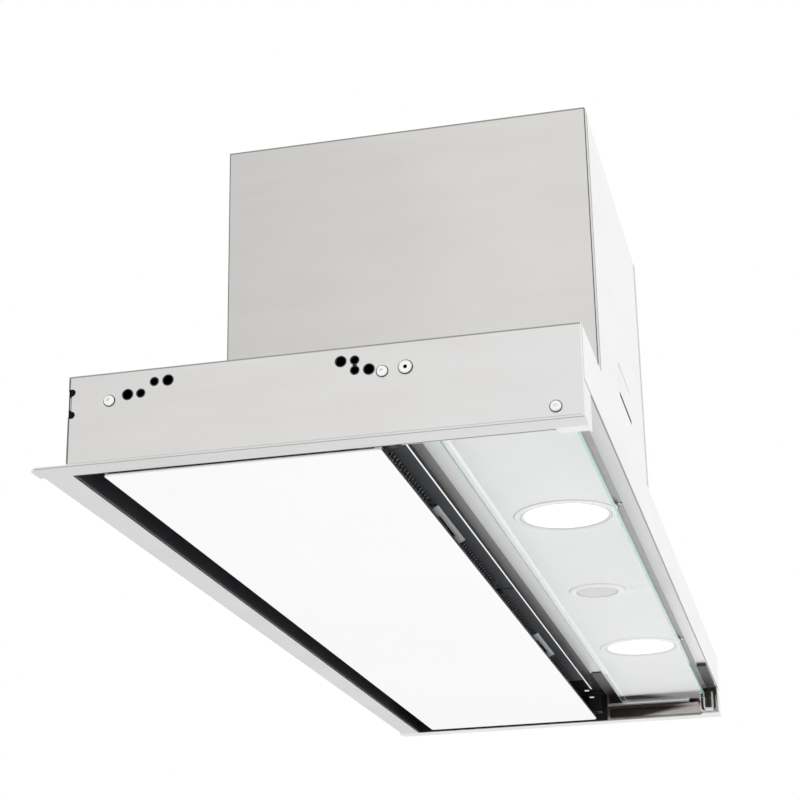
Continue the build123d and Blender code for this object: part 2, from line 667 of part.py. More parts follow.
with BuildPart() as visor_glass:
    glass_z = (VISOR_HEIGHT, VISOR_HEIGHT + GLASS_THICKNESS)
    block((-VISOR_HALF, VISOR_HALF), (VISOR_FRONT, VISOR_BACK), glass_z)
    chamfer(visor_glass.edges().filter_by(Axis.X), length=GLASS_EDGE)
    notch_x = (RUNNER_INNER - VISOR_NOTCH_GAP, END)
    notch_y = (VISOR_FRONT - SHEET, VISOR_FRONT + VISOR_NOTCH_DEPTH)
    block(notch_x, notch_y, glass_z, Mode.SUBTRACT)
keep(visor_glass, "visor_glass")

with BuildPart() as left_visor_runner:
    rail_z = (VISOR_HEIGHT - RUNNER_THICKNESS, VISOR_HEIGHT)
    block((-RUNNER_OUTER, -RUNNER_INNER), (FRONT + RUNNER_SETBACK, VISOR_BACK), rail_z)
    tail_x = (-WEB_INNER + TAIL_GAP, -RUNNER_INNER)
    block(tail_x, (VISOR_BACK - TAIL_LAP, VISOR_BACK + TAIL_REACH), rail_z)
keep(left_visor_runner, "left_visor_runner")

with BuildPart() as right_visor_runner:
    add(mirror(left_visor_runner.part, about=Plane.YZ))
    rail_middle = VISOR_HEIGHT - RUNNER_THICKNESS / 2
    hook_front = FRONT + HOOK_SETBACK + RUNNER_THICKNESS / 2
    hook_bottom = HOOK_BOTTOM + RUNNER_THICKNESS / 2
    joggle_y = FRONT + RUNNER_SETBACK
    with BuildSketch(Plane.YZ.offset(RUNNER_INNER)):
        with BuildLine():
            FilletPolyline(
                (joggle_y + RUNNER_LAP, rail_middle),
                (joggle_y, rail_middle),
                (joggle_y - RUNNER_JOGGLE, rail_middle + RUNNER_JOGGLE),
                (hook_front + HOOK_SPAN, rail_middle + RUNNER_JOGGLE),
                (hook_front + HOOK_SPAN, hook_bottom),
                (hook_front, hook_bottom),
                (hook_front, HOOK_TOP),
                radius=RUNNER_BEND,
            )
        trace(line_width=RUNNER_THICKNESS)
    extrude(amount=HOOK_WIDTH)
keep(right_visor_runner, "right_visor_runner")

# Dark switch strip under the fold, which the right runner works

with BuildPart() as visor_sensor:
    sensor_right = RUNNER_INNER - SENSOR_GAP
    sensor_x = (sensor_right - SENSOR_LENGTH, sensor_right)
    sensor_y = (FRONT_INNER, FRONT_INNER + SENSOR_DEPTH)
    block(sensor_x, sensor_y, (SOFFIT_HEIGHT - SENSOR_THICKNESS, SOFFIT_HEIGHT))
    fillet(visor_sensor.edges().filter_by(Axis.Z).sort_by(Axis.X)[-2:], radius=SENSOR_ROUND)
keep(visor_sensor, "visor_sensor")

# Lamps

with BuildPart() as lamp_trims:
    trim_bottom = PLATE_BOTTOM - LAMP_TRIM_THICKNESS
    lens_bottom = trim_bottom + LAMP_LEDGE
    sleeve_top = PLATE_BOTTOM + SLEEVE_HEIGHT
    trim_slope = LAMP_TRIM_THICKNESS / 2
    trim_points = [
        (LAMP_WINDOW_RADIUS, trim_bottom),
        (LAMP_TRIM_RADIUS - trim_slope, trim_bottom),
        (LAMP_TRIM_RADIUS, trim_bottom + trim_slope),
        (LAMP_TRIM_RADIUS, PLATE_BOTTOM),
        (SLEEVE_OUTER, PLATE_BOTTOM),
        (SLEEVE_OUTER, sleeve_top),
        (SLEEVE_BORE, sleeve_top),
        (SLEEVE_BORE, lens_bottom),
        (LAMP_WINDOW_RADIUS, lens_bottom),
    ]
    for side in (-1, 1):
        turned(side * LAMP_SPREAD, LAMP_Y, trim_points)
keep(lamp_trims, "lamp_trims")

with BuildPart() as lamp_lenses:
    lens_middle = lens_bottom + LENS_THICKNESS / 2
    for side in (-1, 1):
        lens_centre = (side * LAMP_SPREAD, LAMP_Y, lens_middle)
        rod(lens_centre, LAMP_WINDOW_RADIUS + LENS_MARGIN, LENS_THICKNESS)
keep(lamp_lenses, "lamp_lenses")

with BuildPart() as lamp_housings:
    can_inner = SLEEVE_OUTER + CAN_CLEARANCE
    can_outer = can_inner + CAN_WALL
    can_bottom = PLATE_BOTTOM + SHEET
    can_top = can_bottom + CAN_HEIGHT
    can_points = [
        (can_inner, can_bottom),
        (can_outer, can_bottom),
        (can_outer, can_top),
        (0, can_top),
        (0, can_top - CAN_WALL),
        (can_inner, can_top - CAN_WALL),
    ]
    for side in (-1, 1):
        turned(side * LAMP_SPREAD, LAMP_Y, can_points)
        for out in (-1, 1):
            lug_x = side * LAMP_SPREAD + out * (can_inner + CAN_WALL / 2)
            lug_y = (LAMP_Y - LUG_HALF, LAMP_Y + LUG_HALF)
            block((lug_x, lug_x + out * LUG_REACH), lug_y, (can_bottom, can_bottom + CAN_WALL))
        for step in range(FIN_COUNT):
            fin_offset = (step - (FIN_COUNT - 1) / 2) * FIN_PITCH
            fin_half = (can_outer**2 - fin_offset**2) ** 0.5 - CAN_WALL
            fin_x = side * LAMP_SPREAD + fin_offset
            fin_limits = (fin_x - FIN_THICKNESS / 2, fin_x + FIN_THICKNESS / 2)
            fin_y = (LAMP_Y - fin_half, LAMP_Y + fin_half)
            block(fin_limits, fin_y, (can_top - CAN_WALL / 2, can_top + FIN_HEIGHT))
keep(lamp_housings, "lamp_housings")

# Round switch in the middle, and the small receiver window beside it

with BuildPart() as switch_bezel:
    bezel_outer = BEZEL_BORE + BEZEL_WALL
    bezel_top = PLATE_BOTTOM + BEZEL_DEPTH
    bezel_points = [
        (BEZEL_BORE, trim_bottom),
        (SWITCH_RADIUS - trim_slope, trim_bottom),
        (SWITCH_RADIUS, trim_bottom + trim_slope),
        (SWITCH_RADIUS, PLATE_BOTTOM),
        (bezel_outer, PLATE_BOTTOM),
        (bezel_outer, bezel_top),
        (BUTTON_STEM + BUTTON_GAP, bezel_top),
        (BUTTON_STEM + BUTTON_GAP, bezel_top - BEZEL_WALL / 2),
        (BEZEL_BORE, bezel_top - BEZEL_WALL / 2),
    ]
    turned(0, FRONT + SWITCH_SETBACK, bezel_points)
keep(switch_bezel, "switch_bezel")

with BuildPart() as switch_button:
    button_bottom = trim_bottom + BUTTON_SINK
    button_top = button_bottom + BUTTON_THICKNESS
    button_points = [
        (0, button_bottom + BUTTON_DISH),
        (BUTTON_RADIUS / 2, button_bottom + BUTTON_DISH * DISH_SHARE),
        (BUTTON_RADIUS - BUTTON_DISH, button_bottom),
        (BUTTON_RADIUS, button_bottom + BUTTON_DISH / 2),
        (BUTTON_RADIUS, button_top),
        (BUTTON_STEM, button_top),
        (BUTTON_STEM, bezel_top + BUTTON_TRAVEL),
        (0, bezel_top + BUTTON_TRAVEL),
    ]
    turned(0, FRONT + SWITCH_SETBACK, button_points)
keep(switch_button, "switch_button")

with BuildPart() as receiver_window:
    window_points = [
        (0, PLATE_BOTTOM - SHEET),
        (WINDOW_RADIUS - SHEET / 2, PLATE_BOTTOM - SHEET),
        (WINDOW_RADIUS, PLATE_BOTTOM - SHEET / 2),
        (WINDOW_RADIUS, PLATE_BOTTOM),
        (WINDOW_STEM, PLATE_BOTTOM),
        (WINDOW_STEM, sleeve_top),
        (0, sleeve_top),
    ]
    turned(0, FRONT + WINDOW_SETBACK, window_points)
keep(receiver_window, "receiver_window")

# Carrier of the filters, and the skirt under it round the suction opening

with BuildPart() as filter_carrier:
    carrier_z = (CARRIER_BOTTOM, FILTER_BOTTOM)
    block((-PLATE_END, PLATE_END), (PARTITION_REAR, BACK_INNER), carrier_z)
    for side in (-1, 1):
        flange_y = (PARTITION_REAR, BACK - FLANGE_SETBACK)
        block((side * PLATE_END, side * INNER_END), flange_y, carrier_z)
        upright_x = (side * CAVITY_END, side * INNER_END)
        block(upright_x, flange_y, (CARRIER_BOTTOM, CARRIER_BOTTOM + CARRIER_FLANGE))
        for depth, height in SCREW_PLACES:
            if height > FILTER_BOTTOM:
                tab_centre = FRONT + depth
                tab_y = (tab_centre - CARRIER_TAB, tab_centre + CARRIER_TAB)
                block(upright_x, tab_y, (CARRIER_BOTTOM, height + CARRIER_TAB))
                tab_hole = (side * CAVITY_END, tab_centre, height)
                hole(tab_hole, SCREW_RADIUS + SCREW_CLEARANCE, THROUGH, ALONG_X)
        open_x = (side * (FILTER_RIGHT - LEDGE_END), side * (FILTER_LEFT + LEDGE_END))
        open_y = (FILTER_FRONT + LEDGE_FRONT, FILTER_BACK - LEDGE_REAR)
        block(open_x, open_y, carrier_z, Mode.SUBTRACT)
keep(filter_carrier, "filter_carrier")

with BuildPart() as carrier_skirt:
    skirt_outer = OPENING_END - SKIRT_INSET
    skirt_y = (hem_y[1] + SEAM, BACK_INNER)
    skirt_z = (SKIRT_BOTTOM, CARRIER_BOTTOM)
    for side in (-1, 1):
        block((side * skirt_outer, side * (skirt_outer - SHEET)), skirt_y, skirt_z)
    block((-skirt_outer, skirt_outer), (BACK_INNER - SHEET, BACK_INNER), skirt_z)
keep(carrier_skirt, "carrier_skirt")

# Grease filters, each with a tray, a mesh pack and a sliding latch

with BuildPart() as filter_frame:
    frame_top = FILTER_BOTTOM + FILTER_HEIGHT
    floor_z = (FILTER_BOTTOM, FILTER_BOTTOM + SHEET)
    inside_x = (FILTER_LEFT + SHEET, FILTER_RIGHT - SHEET)
    inside_y = (FILTER_FRONT + SHEET, FILTER_BACK - SHEET)
    block((FILTER_LEFT, FILTER_RIGHT), (FILTER_FRONT, FILTER_BACK), (FILTER_BOTTOM, frame_top))
    block(inside_x, inside_y, (floor_z[1], frame_top + SHEET), Mode.SUBTRACT)
    mesh_x = (FILTER_LEFT + FILTER_EDGE, FILTER_RIGHT - FILTER_EDGE)
    mesh_y = (FILTER_FRONT + FILTER_BORDER, FILTER_BACK - FILTER_EDGE)
    block(mesh_x, mesh_y, floor_z, Mode.SUBTRACT)
    rim_half = LATCH_LENGTH / 2 + LATCH_RIM + SHEET
    block((LATCH_X - rim_half, LATCH_X + rim_half), (FILTER_FRONT, RIM_BACK), floor_z)
    grip_half = LATCH_LENGTH / 2 + LATCH_CLEARANCE
    grip_y = (LATCH_FRONT - LATCH_CLEARANCE, LATCH_BACK + LATCH_TRAVEL + LATCH_CLEARANCE)
    block((LATCH_X - grip_half, LATCH_X + grip_half), grip_y, floor_z, Mode.SUBTRACT)
    slot_y = (FILTER_FRONT - SHEET, inside_y[0])
    block((LATCH_X - slot_half, LATCH_X + slot_half), slot_y, slot_z, Mode.SUBTRACT)
keep_pair(filter_frame, "filter_frame")

with BuildPart() as filter_mesh:
    pack_x = (inside_x[0] + MESH_CLEARANCE, inside_x[1] - MESH_CLEARANCE)
    pack_y = (inside_y[0] + MESH_CLEARANCE, inside_y[1] - MESH_CLEARANCE)
    pack_z = (floor_z[1], floor_z[1] + MESH_THICKNESS)
    block(pack_x, pack_y, pack_z)
    bay_x = (LATCH_X - rim_half, LATCH_X + rim_half)
    block(bay_x, (FILTER_FRONT, RIM_BACK), pack_z, Mode.SUBTRACT)
keep_pair(filter_mesh, "filter_mesh")

with BuildPart() as filter_latch:
    grip_x = (LATCH_X - LATCH_LENGTH / 2, LATCH_X + LATCH_LENGTH / 2)
    grip_bottom = FILTER_BOTTOM + LATCH_SINK
    grip_z = (grip_bottom, grip_bottom + LATCH_HEIGHT)
    block(grip_x, (LATCH_FRONT, LATCH_BACK), grip_z)
    well_y = (LATCH_FRONT + LATCH_BAR, LATCH_FRONT + LATCH_BAR + LATCH_WELL)
    well_x = (grip_x[0] + LATCH_GRIP, grip_x[1] - LATCH_GRIP)
    well_z = (grip_bottom - SHEET, grip_z[1] - TONGUE_THICKNESS)
    block(well_x, well_y, well_z, Mode.SUBTRACT)
    fillet(filter_latch.edges().filter_by(Axis.Z), radius=SHEET)
    flange_x = (grip_x[0] - LATCH_RIM, grip_x[1] + LATCH_RIM)
    tongue_z = (TONGUE_BOTTOM, TONGUE_TOP)
    block(flange_x, (LATCH_FRONT - LATCH_RIM, LATCH_BACK + LATCH_RIM), tongue_z)
    block(well_x, well_y, (grip_bottom, grip_z[1] - TONGUE_THICKNESS), Mode.SUBTRACT)
    tongue_y = (PARTITION_FRONT - TONGUE_BITE, LATCH_FRONT)
    block((LATCH_X - TONGUE_HALF, LATCH_X + TONGUE_HALF), tongue_y, tongue_z)
keep_pair(filter_latch, "filter_latch")

# Hanging glass panel on its tray, hinged along its rear edge

with BuildPart() as panel_glass:
    block((-PANEL_HALF, PANEL_HALF), (PANEL_FRONT, PANEL_BACK), (PANEL_LIFT, PANEL_TOP))
    chamfer(panel_glass.edges().filter_by(Axis.X), length=GLASS_EDGE)
keep(panel_glass, "panel_glass")

with BuildPart() as panel_tray:
    tray_x = (-PANEL_HALF + TRAY_INSET, PANEL_HALF - TRAY_INSET)
    tray_y = (PANEL_FRONT + TRAY_INSET, PANEL_BACK - TRAY_INSET + SHEET)
    tray_top = PANEL_TOP + SHEET + TRAY_LIP
    block(tray_x, tray_y, (PANEL_TOP, tray_top))
    hollow_x = (tray_x[0] + SHEET, tray_x[1] - SHEET)
    hollow_y = (tray_y[0] + SHEET, tray_y[1] - SHEET)
    block(hollow_x, hollow_y, (PANEL_TOP + SHEET, tray_top + SHEET), Mode.SUBTRACT)
    ear_offset = KNUCKLE_HALF + EAR_GAP
    leaf_half = ear_offset + EAR_THICKNESS
    for side in (-1, 1):
        gap_x = (side * HINGE_X - leaf_half - SEAM, side * HINGE_X + leaf_half + SEAM)
        gap_z = (PANEL_TOP + SHEET, tray_top + SHEET)
        block(gap_x, (hollow_y[1], tray_y[1] + SHEET), gap_z, Mode.SUBTRACT)
keep(panel_tray, "panel_tray")

with BuildPart() as hinge_leaves:
    leaf_bottom = PANEL_TOP + SHEET
    for side in (-1, 1):
        leaf_x = (side * HINGE_X - leaf_half, side * HINGE_X + leaf_half)
        block(leaf_x, (HINGE_Y - EAR_REACH, tray_y[1]), (leaf_bottom, leaf_bottom + SHEET))
        for ear_x in (leaf_x[0], leaf_x[1] - EAR_THICKNESS):
            with BuildSketch(Plane.YZ.offset(ear_x)) as ear:
                with BuildLine():
                    slope = radians(EAR_SLOPE)
                    shoulder = (HINGE_Y - KNUCKLE_RADIUS * sin(slope), HINGE_Z + KNUCKLE_RADIUS * cos(slope))
                    Polyline(
                        (HINGE_Y - EAR_REACH, leaf_bottom),
                        (HINGE_Y - EAR_REACH, tray_top),
                        shoulder,
                        (HINGE_Y, HINGE_Z - KNUCKLE_RADIUS),
                        (tray_y[1], leaf_bottom),
                        close=True,
                    )
                make_face()
                with Locations((HINGE_Y, HINGE_Z)):
                    Circle(KNUCKLE_RADIUS)
                    Circle(PIN_RADIUS + PIN_CLEARANCE, mode=Mode.SUBTRACT)
            extrude(amount=EAR_THICKNESS)
keep(hinge_leaves, "hinge_leaves")

with BuildPart() as hinge_brackets:
    for side in (-1, 1):
        knuckle_x = (side * HINGE_X - KNUCKLE_HALF, side * HINGE_X + KNUCKLE_HALF)
        strap_y = (HINGE_Y - KNUCKLE_RADIUS, HINGE_Y + KNUCKLE_RADIUS)
        rod((side * HINGE_X, HINGE_Y, HINGE_Z), KNUCKLE_RADIUS, 2 * KNUCKLE_HALF, ALONG_X)
        block(knuckle_x, strap_y, (HINGE_Z, CARRIER_BOTTOM))
        foot_y = (HINGE_Y - HINGE_FOOT, HINGE_Y + HINGE_FOOT)
        block(knuckle_x, foot_y, (CARRIER_BOTTOM - EAR_THICKNESS, CARRIER_BOTTOM))
        hole((side * HINGE_X, HINGE_Y, HINGE_Z), PIN_RADIUS + PIN_CLEARANCE, 4 * KNUCKLE_HALF, ALONG_X)
keep(hinge_brackets, "hinge_brackets")

with BuildPart() as hinge_pins:
    for side in (-1, 1):
        rod((side * HINGE_X, HINGE_Y, HINGE_Z), PIN_RADIUS, 2 * leaf_half, ALONG_X)
        head_x = side * HINGE_X + leaf_half + EAR_GAP + SHEET / 2
        rod((head_x, HINGE_Y, HINGE_Z), PIN_RADIUS + SHEET, SHEET, ALONG_X)
        rod((head_x - SHEET / 2, HINGE_Y, HINGE_Z), PIN_RADIUS, SHEET, ALONG_X)
keep(hinge_pins, "hinge_pins")

with BuildPart() as magnet_catches:
    catch_y = (PARTITION_REAR + CATCH_SETBACK, PARTITION_REAR + CATCH_SETBACK + CATCH_DEPTH)
    catch_bottom = PANEL_TOP + STRIKER_THICKNESS + CATCH_GAP
    for side in (-1, 1):
        catch_x = (side * CATCH_X - CATCH_HALF, side * CATCH_X + CATCH_HALF)
        block(catch_x, catch_y, (catch_bottom, CARRIER_BOTTOM))
        foot_x = (catch_x[0] - CATCH_FOOT, catch_x[1] + CATCH_FOOT)
        foot_y = (PARTITION_REAR + SEAM, catch_y[1] - 2 * SHEET)
        block(foot_x, foot_y, (CARRIER_BOTTOM - 2 * SHEET, CARRIER_BOTTOM))
        groove_x = (catch_x[0] + 3 * SHEET, catch_x[1] - 3 * SHEET)
        groove_y = (catch_y[0] + 4 * SHEET, catch_y[1] - 4 * SHEET)
        block(groove_x, groove_y, (catch_bottom, catch_bottom + SHEET), Mode.SUBTRACT)
keep(magnet_catches, "magnet_catches")

with BuildPart() as striker_plates:
    striker_y = (PANEL_FRONT + STRIKER_MARGIN, PANEL_FRONT + STRIKER_MARGIN + STRIKER_DEPTH)
    for side in (-1, 1):
        striker_x = (side * CATCH_X - CATCH_HALF + 2 * SHEET, side * CATCH_X + CATCH_HALF - 2 * SHEET)
        block(striker_x, striker_y, (PANEL_TOP, PANEL_TOP + STRIKER_THICKNESS))
keep(striker_plates, "striker_plates")


def scroll_point(angle, wall):
    radius = scroll_radius(angle) + wall
    return (radius * cos(radians(angle)), radius * sin(radians(angle)))


def scroll_outline(start, wall, rise):
    # The spiral runs from the tongue round the back and the bottom, then up the throat
    back_wall = SCROLL_INSIDE * cos(radians(TONGUE_ANGLE)) + wall
    first = degrees(acos(back_wall / (SCROLL_INSIDE + wall)))
    last = TONGUE_ANGLE - SCROLL_SWEEP
    angles = [first + (last - first) * step / (2 * SCROLL_ARCS) for step in range(2 * SCROLL_ARCS + 1)]
    points = [scroll_point(angle, wall) for angle in angles]
    with BuildSketch(FAN_PLANE.offset(start)) as outline:
        with BuildLine():
            for step in range(0, 2 * SCROLL_ARCS, 2):
                ThreePointArc(points[step], points[step + 1], points[step + 2])
            Polyline(points[-1], (points[-1][0], rise), (points[0][0], rise), points[0])
        make_face()
    return outline.sketch


# Blower scroll in two halves, hung from the top of the motor box

with BuildPart() as left_scroll_half:
    half_width = SCROLL_WIDTH / 2
    mouth_top = BOX_TOP - SHEET
    throat_rise = mouth_top - AXIS_Z
    casing = scroll_outline(-half_width - SCROLL_WALL, SCROLL_WALL, throat_rise)
    extrude(casing, amount=half_width + SCROLL_WALL)
    mouth_y = (COLLAR_Y - MOUTH_HALF, COLLAR_Y + MOUTH_HALF)
    block((BOX_MID - MOUTH_HALF, BOX_MID), mouth_y, (mouth_top - SCROLL_WALL, mouth_top))
    bell_middle = BOX_MID - (BELL_END + half_width) / 2
    rod((bell_middle, AXIS_Y, AXIS_Z), INLET_RADIUS + BELL_WALL, BELL_END - half_width, ALONG_X)
    cavity = scroll_outline(-half_width, 0, throat_rise + SHEET)
    extrude(cavity, amount=half_width, mode=Mode.SUBTRACT)
    hole((bell_middle, AXIS_Y, AXIS_Z), INLET_RADIUS, 4 * BELL_REACH, ALONG_X)
    for back in (-1, 1):
        bolt_place = (BOX_MID - BOLT_OFFSET, COLLAR_Y + back * BOLT_OFFSET, mouth_top)
        hole(bolt_place, SCREW_RADIUS + SCREW_CLEARANCE, 4 * SCROLL_WALL)
keep(left_scroll_half, "left_scroll_half")

with BuildPart() as right_scroll_half:
    add(mirror(left_scroll_half.part, about=Plane.YZ.offset(BOX_MID)))
keep(right_scroll_half, "right_scroll_half")

with BuildPart() as impeller:
    blade_ring = FAN_RADIUS - BLADE_DEPTH / 2
    with BuildSketch(FAN_PLANE.offset(-FAN_HALF)):
        with PolarLocations(blade_ring, BLADE_COUNT):
            Rectangle(BLADE_DEPTH, BLADE_THICKNESS, rotation=BLADE_ANGLE)
    extrude(amount=2 * FAN_HALF)
    for start in (-FAN_HALF, FAN_HALF - FAN_RING):
        with BuildSketch(FAN_PLANE.offset(start)):
            Circle(FAN_RADIUS)
            Circle(FAN_BORE, mode=Mode.SUBTRACT)
        extrude(amount=FAN_RING)
    rod((BOX_MID, AXIS_Y, AXIS_Z), FAN_BORE + DISC_OVERLAP, FAN_DISC, ALONG_X)
    rod((BOX_MID + HUB_LENGTH / 2, AXIS_Y, AXIS_Z), HUB_RADIUS, HUB_LENGTH, ALONG_X)
    hole((BOX_MID, AXIS_Y, AXIS_Z), SHAFT_RADIUS, 4 * HUB_LENGTH, ALONG_X)
keep(impeller, "impeller")

with BuildPart() as motor:
    motor_right = -FAN_DISC / 2 - MOTOR_GAP
    motor_middle = BOX_MID + (motor_right - BELL_END) / 2
    motor_length = BELL_END + motor_right
    rod((motor_middle, AXIS_Y, AXIS_Z), MOTOR_RADIUS - MOTOR_STEP, motor_length, ALONG_X)
    rod((motor_middle, AXIS_Y, AXIS_Z), MOTOR_RADIUS, motor_length - 2 * MOTOR_STEP, ALONG_X)
    bore_middle = BOX_MID + motor_right - (SHAFT_DEPTH + SHEET) / 2
    hole((bore_middle, AXIS_Y, AXIS_Z), SHAFT_RADIUS + SHAFT_CLEARANCE, SHAFT_DEPTH + SHEET, ALONG_X)
keep(motor, "motor")

with BuildPart() as motor_shaft:
    shaft_left = motor_right - SHAFT_DEPTH
    shaft_middle = BOX_MID + (shaft_left + HUB_LENGTH) / 2
    rod((shaft_middle, AXIS_Y, AXIS_Z), SHAFT_RADIUS, HUB_LENGTH - shaft_left, ALONG_X)
keep(motor_shaft, "motor_shaft")

with BuildPart() as motor_bracket:
    arm_reach = INLET_RADIUS + BELL_WALL / 2
    with BuildSketch(FAN_PLANE.offset(-BELL_END - BRACKET_THICKNESS)):
        Circle(INLET_RADIUS + BELL_WALL)
        Circle(INLET_RADIUS, mode=Mode.SUBTRACT)
        Circle(BRACKET_HUB)
        with PolarLocations(arm_reach / 2, ARM_COUNT, start_angle=90):
            Rectangle(arm_reach, ARM_WIDTH)
    extrude(amount=BRACKET_THICKNESS)
keep(motor_bracket, "motor_bracket")

with BuildPart() as blower_screws:
    for across in (-1, 1):
        for back in (-1, 1):
            bolt_head = (BOX_MID + across * BOLT_OFFSET, COLLAR_Y + back * BOLT_OFFSET, BOX_TOP)
            screw(bolt_head, (0, 0, -1), SCREW_HEAD_RADIUS, SCREW_LENGTH)
keep(blower_screws, "blower_screws")

with BuildPart() as capacitor:
    wall_x = BOX_RIGHT - SHEET
    can_y = FRONT_INNER + CAPACITOR_SETBACK
    can_z = BOX_TOP - CAPACITOR_DROP
    rod((wall_x - CAPACITOR_LENGTH / 2, can_y, can_z), CAPACITOR_RADIUS, CAPACITOR_LENGTH, ALONG_X)
    for step in (-1, 1):
        lug = (wall_x - CAPACITOR_LENGTH - SHEET, can_y + step * CAPACITOR_RADIUS / 2, can_z)
        rod(lug, SCREW_RADIUS, THROUGH, ALONG_X)
keep(capacitor, "capacitor")

# Duct collar with two flaps on one pin

with BuildPart() as duct_collar:
    collar_inner = COLLAR_RADIUS - COLLAR_WALL
    seat_top = FLAP_Z - FLAP_THICKNESS / 2 - FLAP_SEAT_GAP
    collar_points = [
        (collar_inner, BOX_TOP),
        (COLLAR_RADIUS + COLLAR_RIM, BOX_TOP),
        (COLLAR_RADIUS + COLLAR_RIM, BOX_TOP + COLLAR_RIM_THICKNESS),
        (COLLAR_RADIUS, BOX_TOP + COLLAR_RIM_THICKNESS),
        (COLLAR_RADIUS, BOX_TOP + COLLAR_HEIGHT),
        (collar_inner, BOX_TOP + COLLAR_HEIGHT),
        (collar_inner, seat_top),
        (collar_inner - FLAP_SEAT, seat_top),
        (collar_inner - FLAP_SEAT, seat_top - FLAP_SEAT_THICKNESS),
        (collar_inner, seat_top - FLAP_SEAT_THICKNESS),
    ]
    turned(BOX_MID, COLLAR_Y, collar_points)
    hole((BOX_MID, COLLAR_Y, FLAP_Z), FLAP_PIN, 2 * COLLAR_RADIUS + COLLAR_RIM, ALONG_X)
keep(duct_collar, "duct_collar")

with BuildPart() as flap_pin:
    rod((BOX_MID, COLLAR_Y, FLAP_Z), FLAP_PIN, 2 * COLLAR_RADIUS, ALONG_X)
keep(flap_pin, "flap_pin")


def flap(back, knuckles):
    # A half disc on one side of the pin, joined to its own knuckles
    radius = COLLAR_RADIUS - COLLAR_WALL - FLAP_CLEARANCE
    plate = (FLAP_Z - FLAP_THICKNESS / 2, FLAP_Z + FLAP_THICKNESS / 2)
    rod((BOX_MID, COLLAR_Y, FLAP_Z), radius, FLAP_THICKNESS)
    away = (COLLAR_Y + back * FLAP_CUT, COLLAR_Y - back * COLLAR_RADIUS)
    block((BOX_MID - radius, BOX_MID + radius), away, plate, Mode.SUBTRACT)
    for low, high in knuckles:
        block((BOX_MID + low, BOX_MID + high), (COLLAR_Y, COLLAR_Y + back * (FLAP_CUT + SHEET)), plate)
        rod((BOX_MID + (low + high) / 2, COLLAR_Y, FLAP_Z), FLAP_KNUCKLE, high - low, ALONG_X)
    hole((BOX_MID, COLLAR_Y, FLAP_Z), FLAP_PIN + PIN_CLEARANCE, 2 * COLLAR_RADIUS, ALONG_X)


with BuildPart() as front_flap:
    outer_from = FLAP_INNER_KNUCKLE + FLAP_END_GAP
    flap(-1, [(-FLAP_OUTER_KNUCKLE, -outer_from), (outer_from, FLAP_OUTER_KNUCKLE)])
keep(front_flap, "front_flap")

with BuildPart() as back_flap:
    flap(1, [(-FLAP_INNER_KNUCKLE, FLAP_INNER_KNUCKLE)])
keep(back_flap, "back_flap")

# Control box on the top plate

with BuildPart() as control_box:
    control_x = (CONTROL_LEFT, CONTROL_RIGHT)
    control_y = (CONTROL_FRONT, CONTROL_BACK)
    control_floor = BODY_HEIGHT + CONTROL_WALL
    block(control_x, control_y, (BODY_HEIGHT, CONTROL_TOP))
    hollow_x = (CONTROL_LEFT + CONTROL_WALL, CONTROL_RIGHT - CONTROL_WALL)
    hollow_y = (CONTROL_FRONT + CONTROL_WALL, CONTROL_BACK - CONTROL_WALL)
    block(hollow_x, hollow_y, (control_floor, CONTROL_TOP + SHEET), Mode.SUBTRACT)
    board_x = (CONTROL_LEFT + BOARD_MARGIN, CONTROL_RIGHT - BOARD_MARGIN)
    board_y = (CONTROL_FRONT + BOARD_MARGIN, CONTROL_BACK - BOARD_MARGIN)
    for x in (board_x[0] + POST_INSET, board_x[1] - POST_INSET):
        for y in (board_y[0] + POST_INSET, board_y[1] - POST_INSET):
            rod((x, y, control_floor + BOARD_LIFT / 2), POST_RADIUS, BOARD_LIFT)
    gland_y = (CONTROL_FRONT + CONTROL_BACK) / 2
    gland_z = CONTROL_TOP - GLAND_DROP
    hole((CONTROL_RIGHT, gland_y, gland_z), GLAND_BODY + GLAND_CLEARANCE, 4 * CONTROL_WALL, ALONG_X)
keep(control_box, "control_box")

with BuildPart() as control_box_lid:
    block(control_x, control_y, (CONTROL_TOP, CONTROL_TOP + CONTROL_WALL))
    fillet(control_box_lid.edges().filter_by(Axis.Z), radius=CONTROL_WALL)
keep(control_box_lid, "control_box_lid")

with BuildPart() as control_board:
    board_z = (control_floor + BOARD_LIFT, control_floor + BOARD_LIFT + BOARD_THICKNESS)
    block(board_x, board_y, board_z)
keep(control_board, "control_board")

with BuildPart() as terminal_block:
    terminal_x = (board_x[1] - POST_INSET - TERMINAL_LENGTH, board_x[1] - POST_INSET)
    terminal_y = (gland_y - TERMINAL_DEPTH / 2, gland_y + TERMINAL_DEPTH / 2)
    block(terminal_x, terminal_y, (board_z[1], board_z[1] + TERMINAL_HEIGHT))
    for step in (-1, 0, 1):
        well = (sum(terminal_x) / 2, gland_y + step * TERMINAL_DEPTH / 4, board_z[1] + TERMINAL_HEIGHT)
        hole(well, SCREW_RADIUS, TERMINAL_HEIGHT)
keep(terminal_block, "terminal_block")

with BuildPart() as cable_gland:
    gland_outside = CONTROL_RIGHT + GLAND_LENGTH / 2
    rod((gland_outside, gland_y, gland_z), GLAND_RADIUS, GLAND_LENGTH, ALONG_X)
    rod((CONTROL_RIGHT - CONTROL_WALL, gland_y, gland_z), GLAND_BODY, 2 * CONTROL_WALL, ALONG_X)
    hole((gland_outside, gland_y, gland_z), GLAND_BORE, 4 * GLAND_LENGTH, ALONG_X)
keep(cable_gland, "cable_gland")

# Fasteners, each group in one piece

with BuildPart() as band_screws:
    for side in (-1, 1):
        screw((side * BAND_SCREW_SPREAD, screw_y, BAND_BOTTOM), (0, 0, 1), BAND_HEAD_RADIUS, SCREW_LENGTH)
keep(band_screws, "band_screws")

